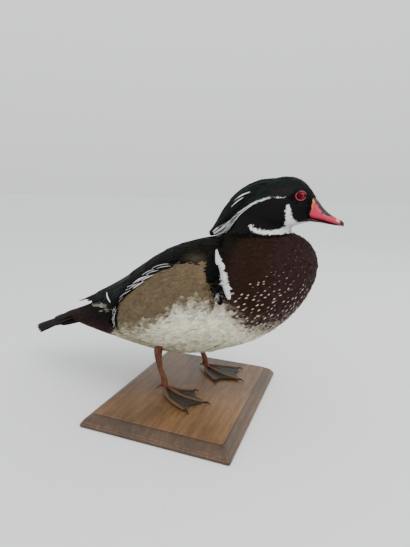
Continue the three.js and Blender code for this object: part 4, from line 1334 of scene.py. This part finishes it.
boardSpec = {"long": 188, "wide": 150, "corner": 2.2}
boardProfile = [(0.7, 0), (0.1, 0.5), (0, 1.4), (0.1, 2.6), (0.5, 3.4), (1.1, 3.8), (1.4, 4.0), (1.7, 4.7),
                (2.5, 6.0), (3.7, 7.3), (5.2, 8.6), (6.9, 9.6), (8.6, 10.25), (9.6, 10.45), (9.9, 10.6),
                (10.0, 11.4), (10.3, 11.85), (10.9, 12.0), (12, 12.0), (15, 12.0)]
woodGrain = [(250, (0.165, 0.082, 0.030, 1), (0.25, 0.133, 0.053, 1)),
             (900, (0.5, 0.46, 0.42, 1), (1, 1, 1, 1))]


def boardRing(inset, height):
    ring = []
    halfX, halfY = boardSpec["wide"] / 2 - inset, boardSpec["long"] / 2 - inset
    corner = boardSpec["corner"]
    for signX, signY, first in ((1, 1, 0), (-1, 1, 90), (-1, -1, 180), (1, -1, 270)):
        for step in range(7):
            turn = math.radians(first + step * 15)
            x = signX * (halfX - corner) + corner * math.cos(turn)
            ring.append([x, signY * (halfY - corner) + corner * math.sin(turn), height])
    ring = np.array(ring)
    full = []
    for i, point in enumerate(ring):  # the straight sides get points of their own
        full.append(point)
        if i % 7 == 6:
            full += [point + (ring[(i + 1) % 28] - point) * share for share in np.linspace(0, 1, 26)[1:-1]]
    return np.array(full)


def woodMaterial():
    material, tree, shader = newMaterial("stainedWood", Roughness=0.45, Coat_Weight=0.12, Coat_Roughness=0.3)
    place = addNode(tree, "ShaderNodeTexCoord").outputs["Object"]
    stretch = addNode(tree, "ShaderNodeMapping", {"Scale": (1, 0.09, 1), "Vector": place})
    layers = []
    for scale, low, high in woodGrain:
        feeds = {"Scale": scale, "Detail": 6, "Distortion": 0.3, "Vector": stretch.outputs[0]}
        noise = addNode(tree, "ShaderNodeTexNoise", feeds)
        ramp = addNode(tree, "ShaderNodeValToRGB", {"Fac": noise.outputs["Fac"]})
        ramp.color_ramp.elements[0].position = 0.36
        ramp.color_ramp.elements[1].position = 0.66
        ramp.color_ramp.elements[0].color = low
        ramp.color_ramp.elements[1].color = high
        layers.append(ramp.outputs["Color"])
    feeds = {"Factor": 0.6, 6: layers[0], 7: layers[1]}
    blend = addNode(tree, "ShaderNodeMix", feeds, data_type="RGBA", blend_type="MULTIPLY")
    stain = addNode(tree, "ShaderNodeTexNoise", {"Scale": 22, "Detail": 5, "Vector": place})
    reach = {"Value": stain.outputs["Fac"], "From Min": 0.3, "From Max": 0.7, "To Min": 0.62, "To Max": 1.15}
    patches = addNode(tree, "ShaderNodeMapRange", reach)  # broad darker and lighter patches of old stain
    worn = addNode(tree, "ShaderNodeVectorMath", {0: blend.outputs[2], 1: tintOf(tree)}, operation="MULTIPLY")
    feeds = {0: worn.outputs[0], "Scale": patches.outputs[0]}
    aged = addNode(tree, "ShaderNodeVectorMath", feeds, operation="SCALE")
    feed(tree, shader, {"Base Color": aged.outputs[0]})
    addBump(tree, shader, 0.3, 0.0003, noise.outputs["Fac"])
    return material


def boardColour(points):  # grooves painted darker as painted shade, the worn slope greyer, the lowest edge dark
    x, y, z = (points + [0, 0, 12]).T
    slope = smoothStep(4.4, 5.2, z) * smoothStep(10.4, 10, z)
    tone = mix(np.ones((len(points), 3)), np.array([0.42, 0.44, 0.52]), slope)
    # painted shade in the moulding's two grooves
    groove = np.maximum(np.exp(-((z - 4.1) / 0.45) ** 2), np.exp(-((z - 10.7) / 0.7) ** 2))
    farEdgeShadeAndWear = smoothStep(61, 63.5, y) * smoothStep(10, 10.3, z)  # dark line on the far edge: painted shade at its step, with worn moulding
    groove = np.maximum(groove, farEdgeShadeAndWear * smoothStep(-32, -22, x) * smoothStep(58, 48, x))
    tone = mix(tone, np.array([0.18, 0.16, 0.15]), groove * 0.9)
    return mix(tone, np.array([0.36, 0.38, 0.46]), smoothStep(3.6, 3.0, z))


board = FormSet()
rings = [boardRing(inset, height) for inset, height in boardProfile]
shift = np.array([11, -16.5, -12])  # from the board's middle to the bird's own measures
board.loft([ring + shift for ring in rings], boardColour)
boardPiece = board.finish("mountBoard", woodMaterial(), "base", ["base_board"])
makeActive(boardPiece)
bpy.ops.object.shade_smooth_by_angle(angle=math.radians(35))
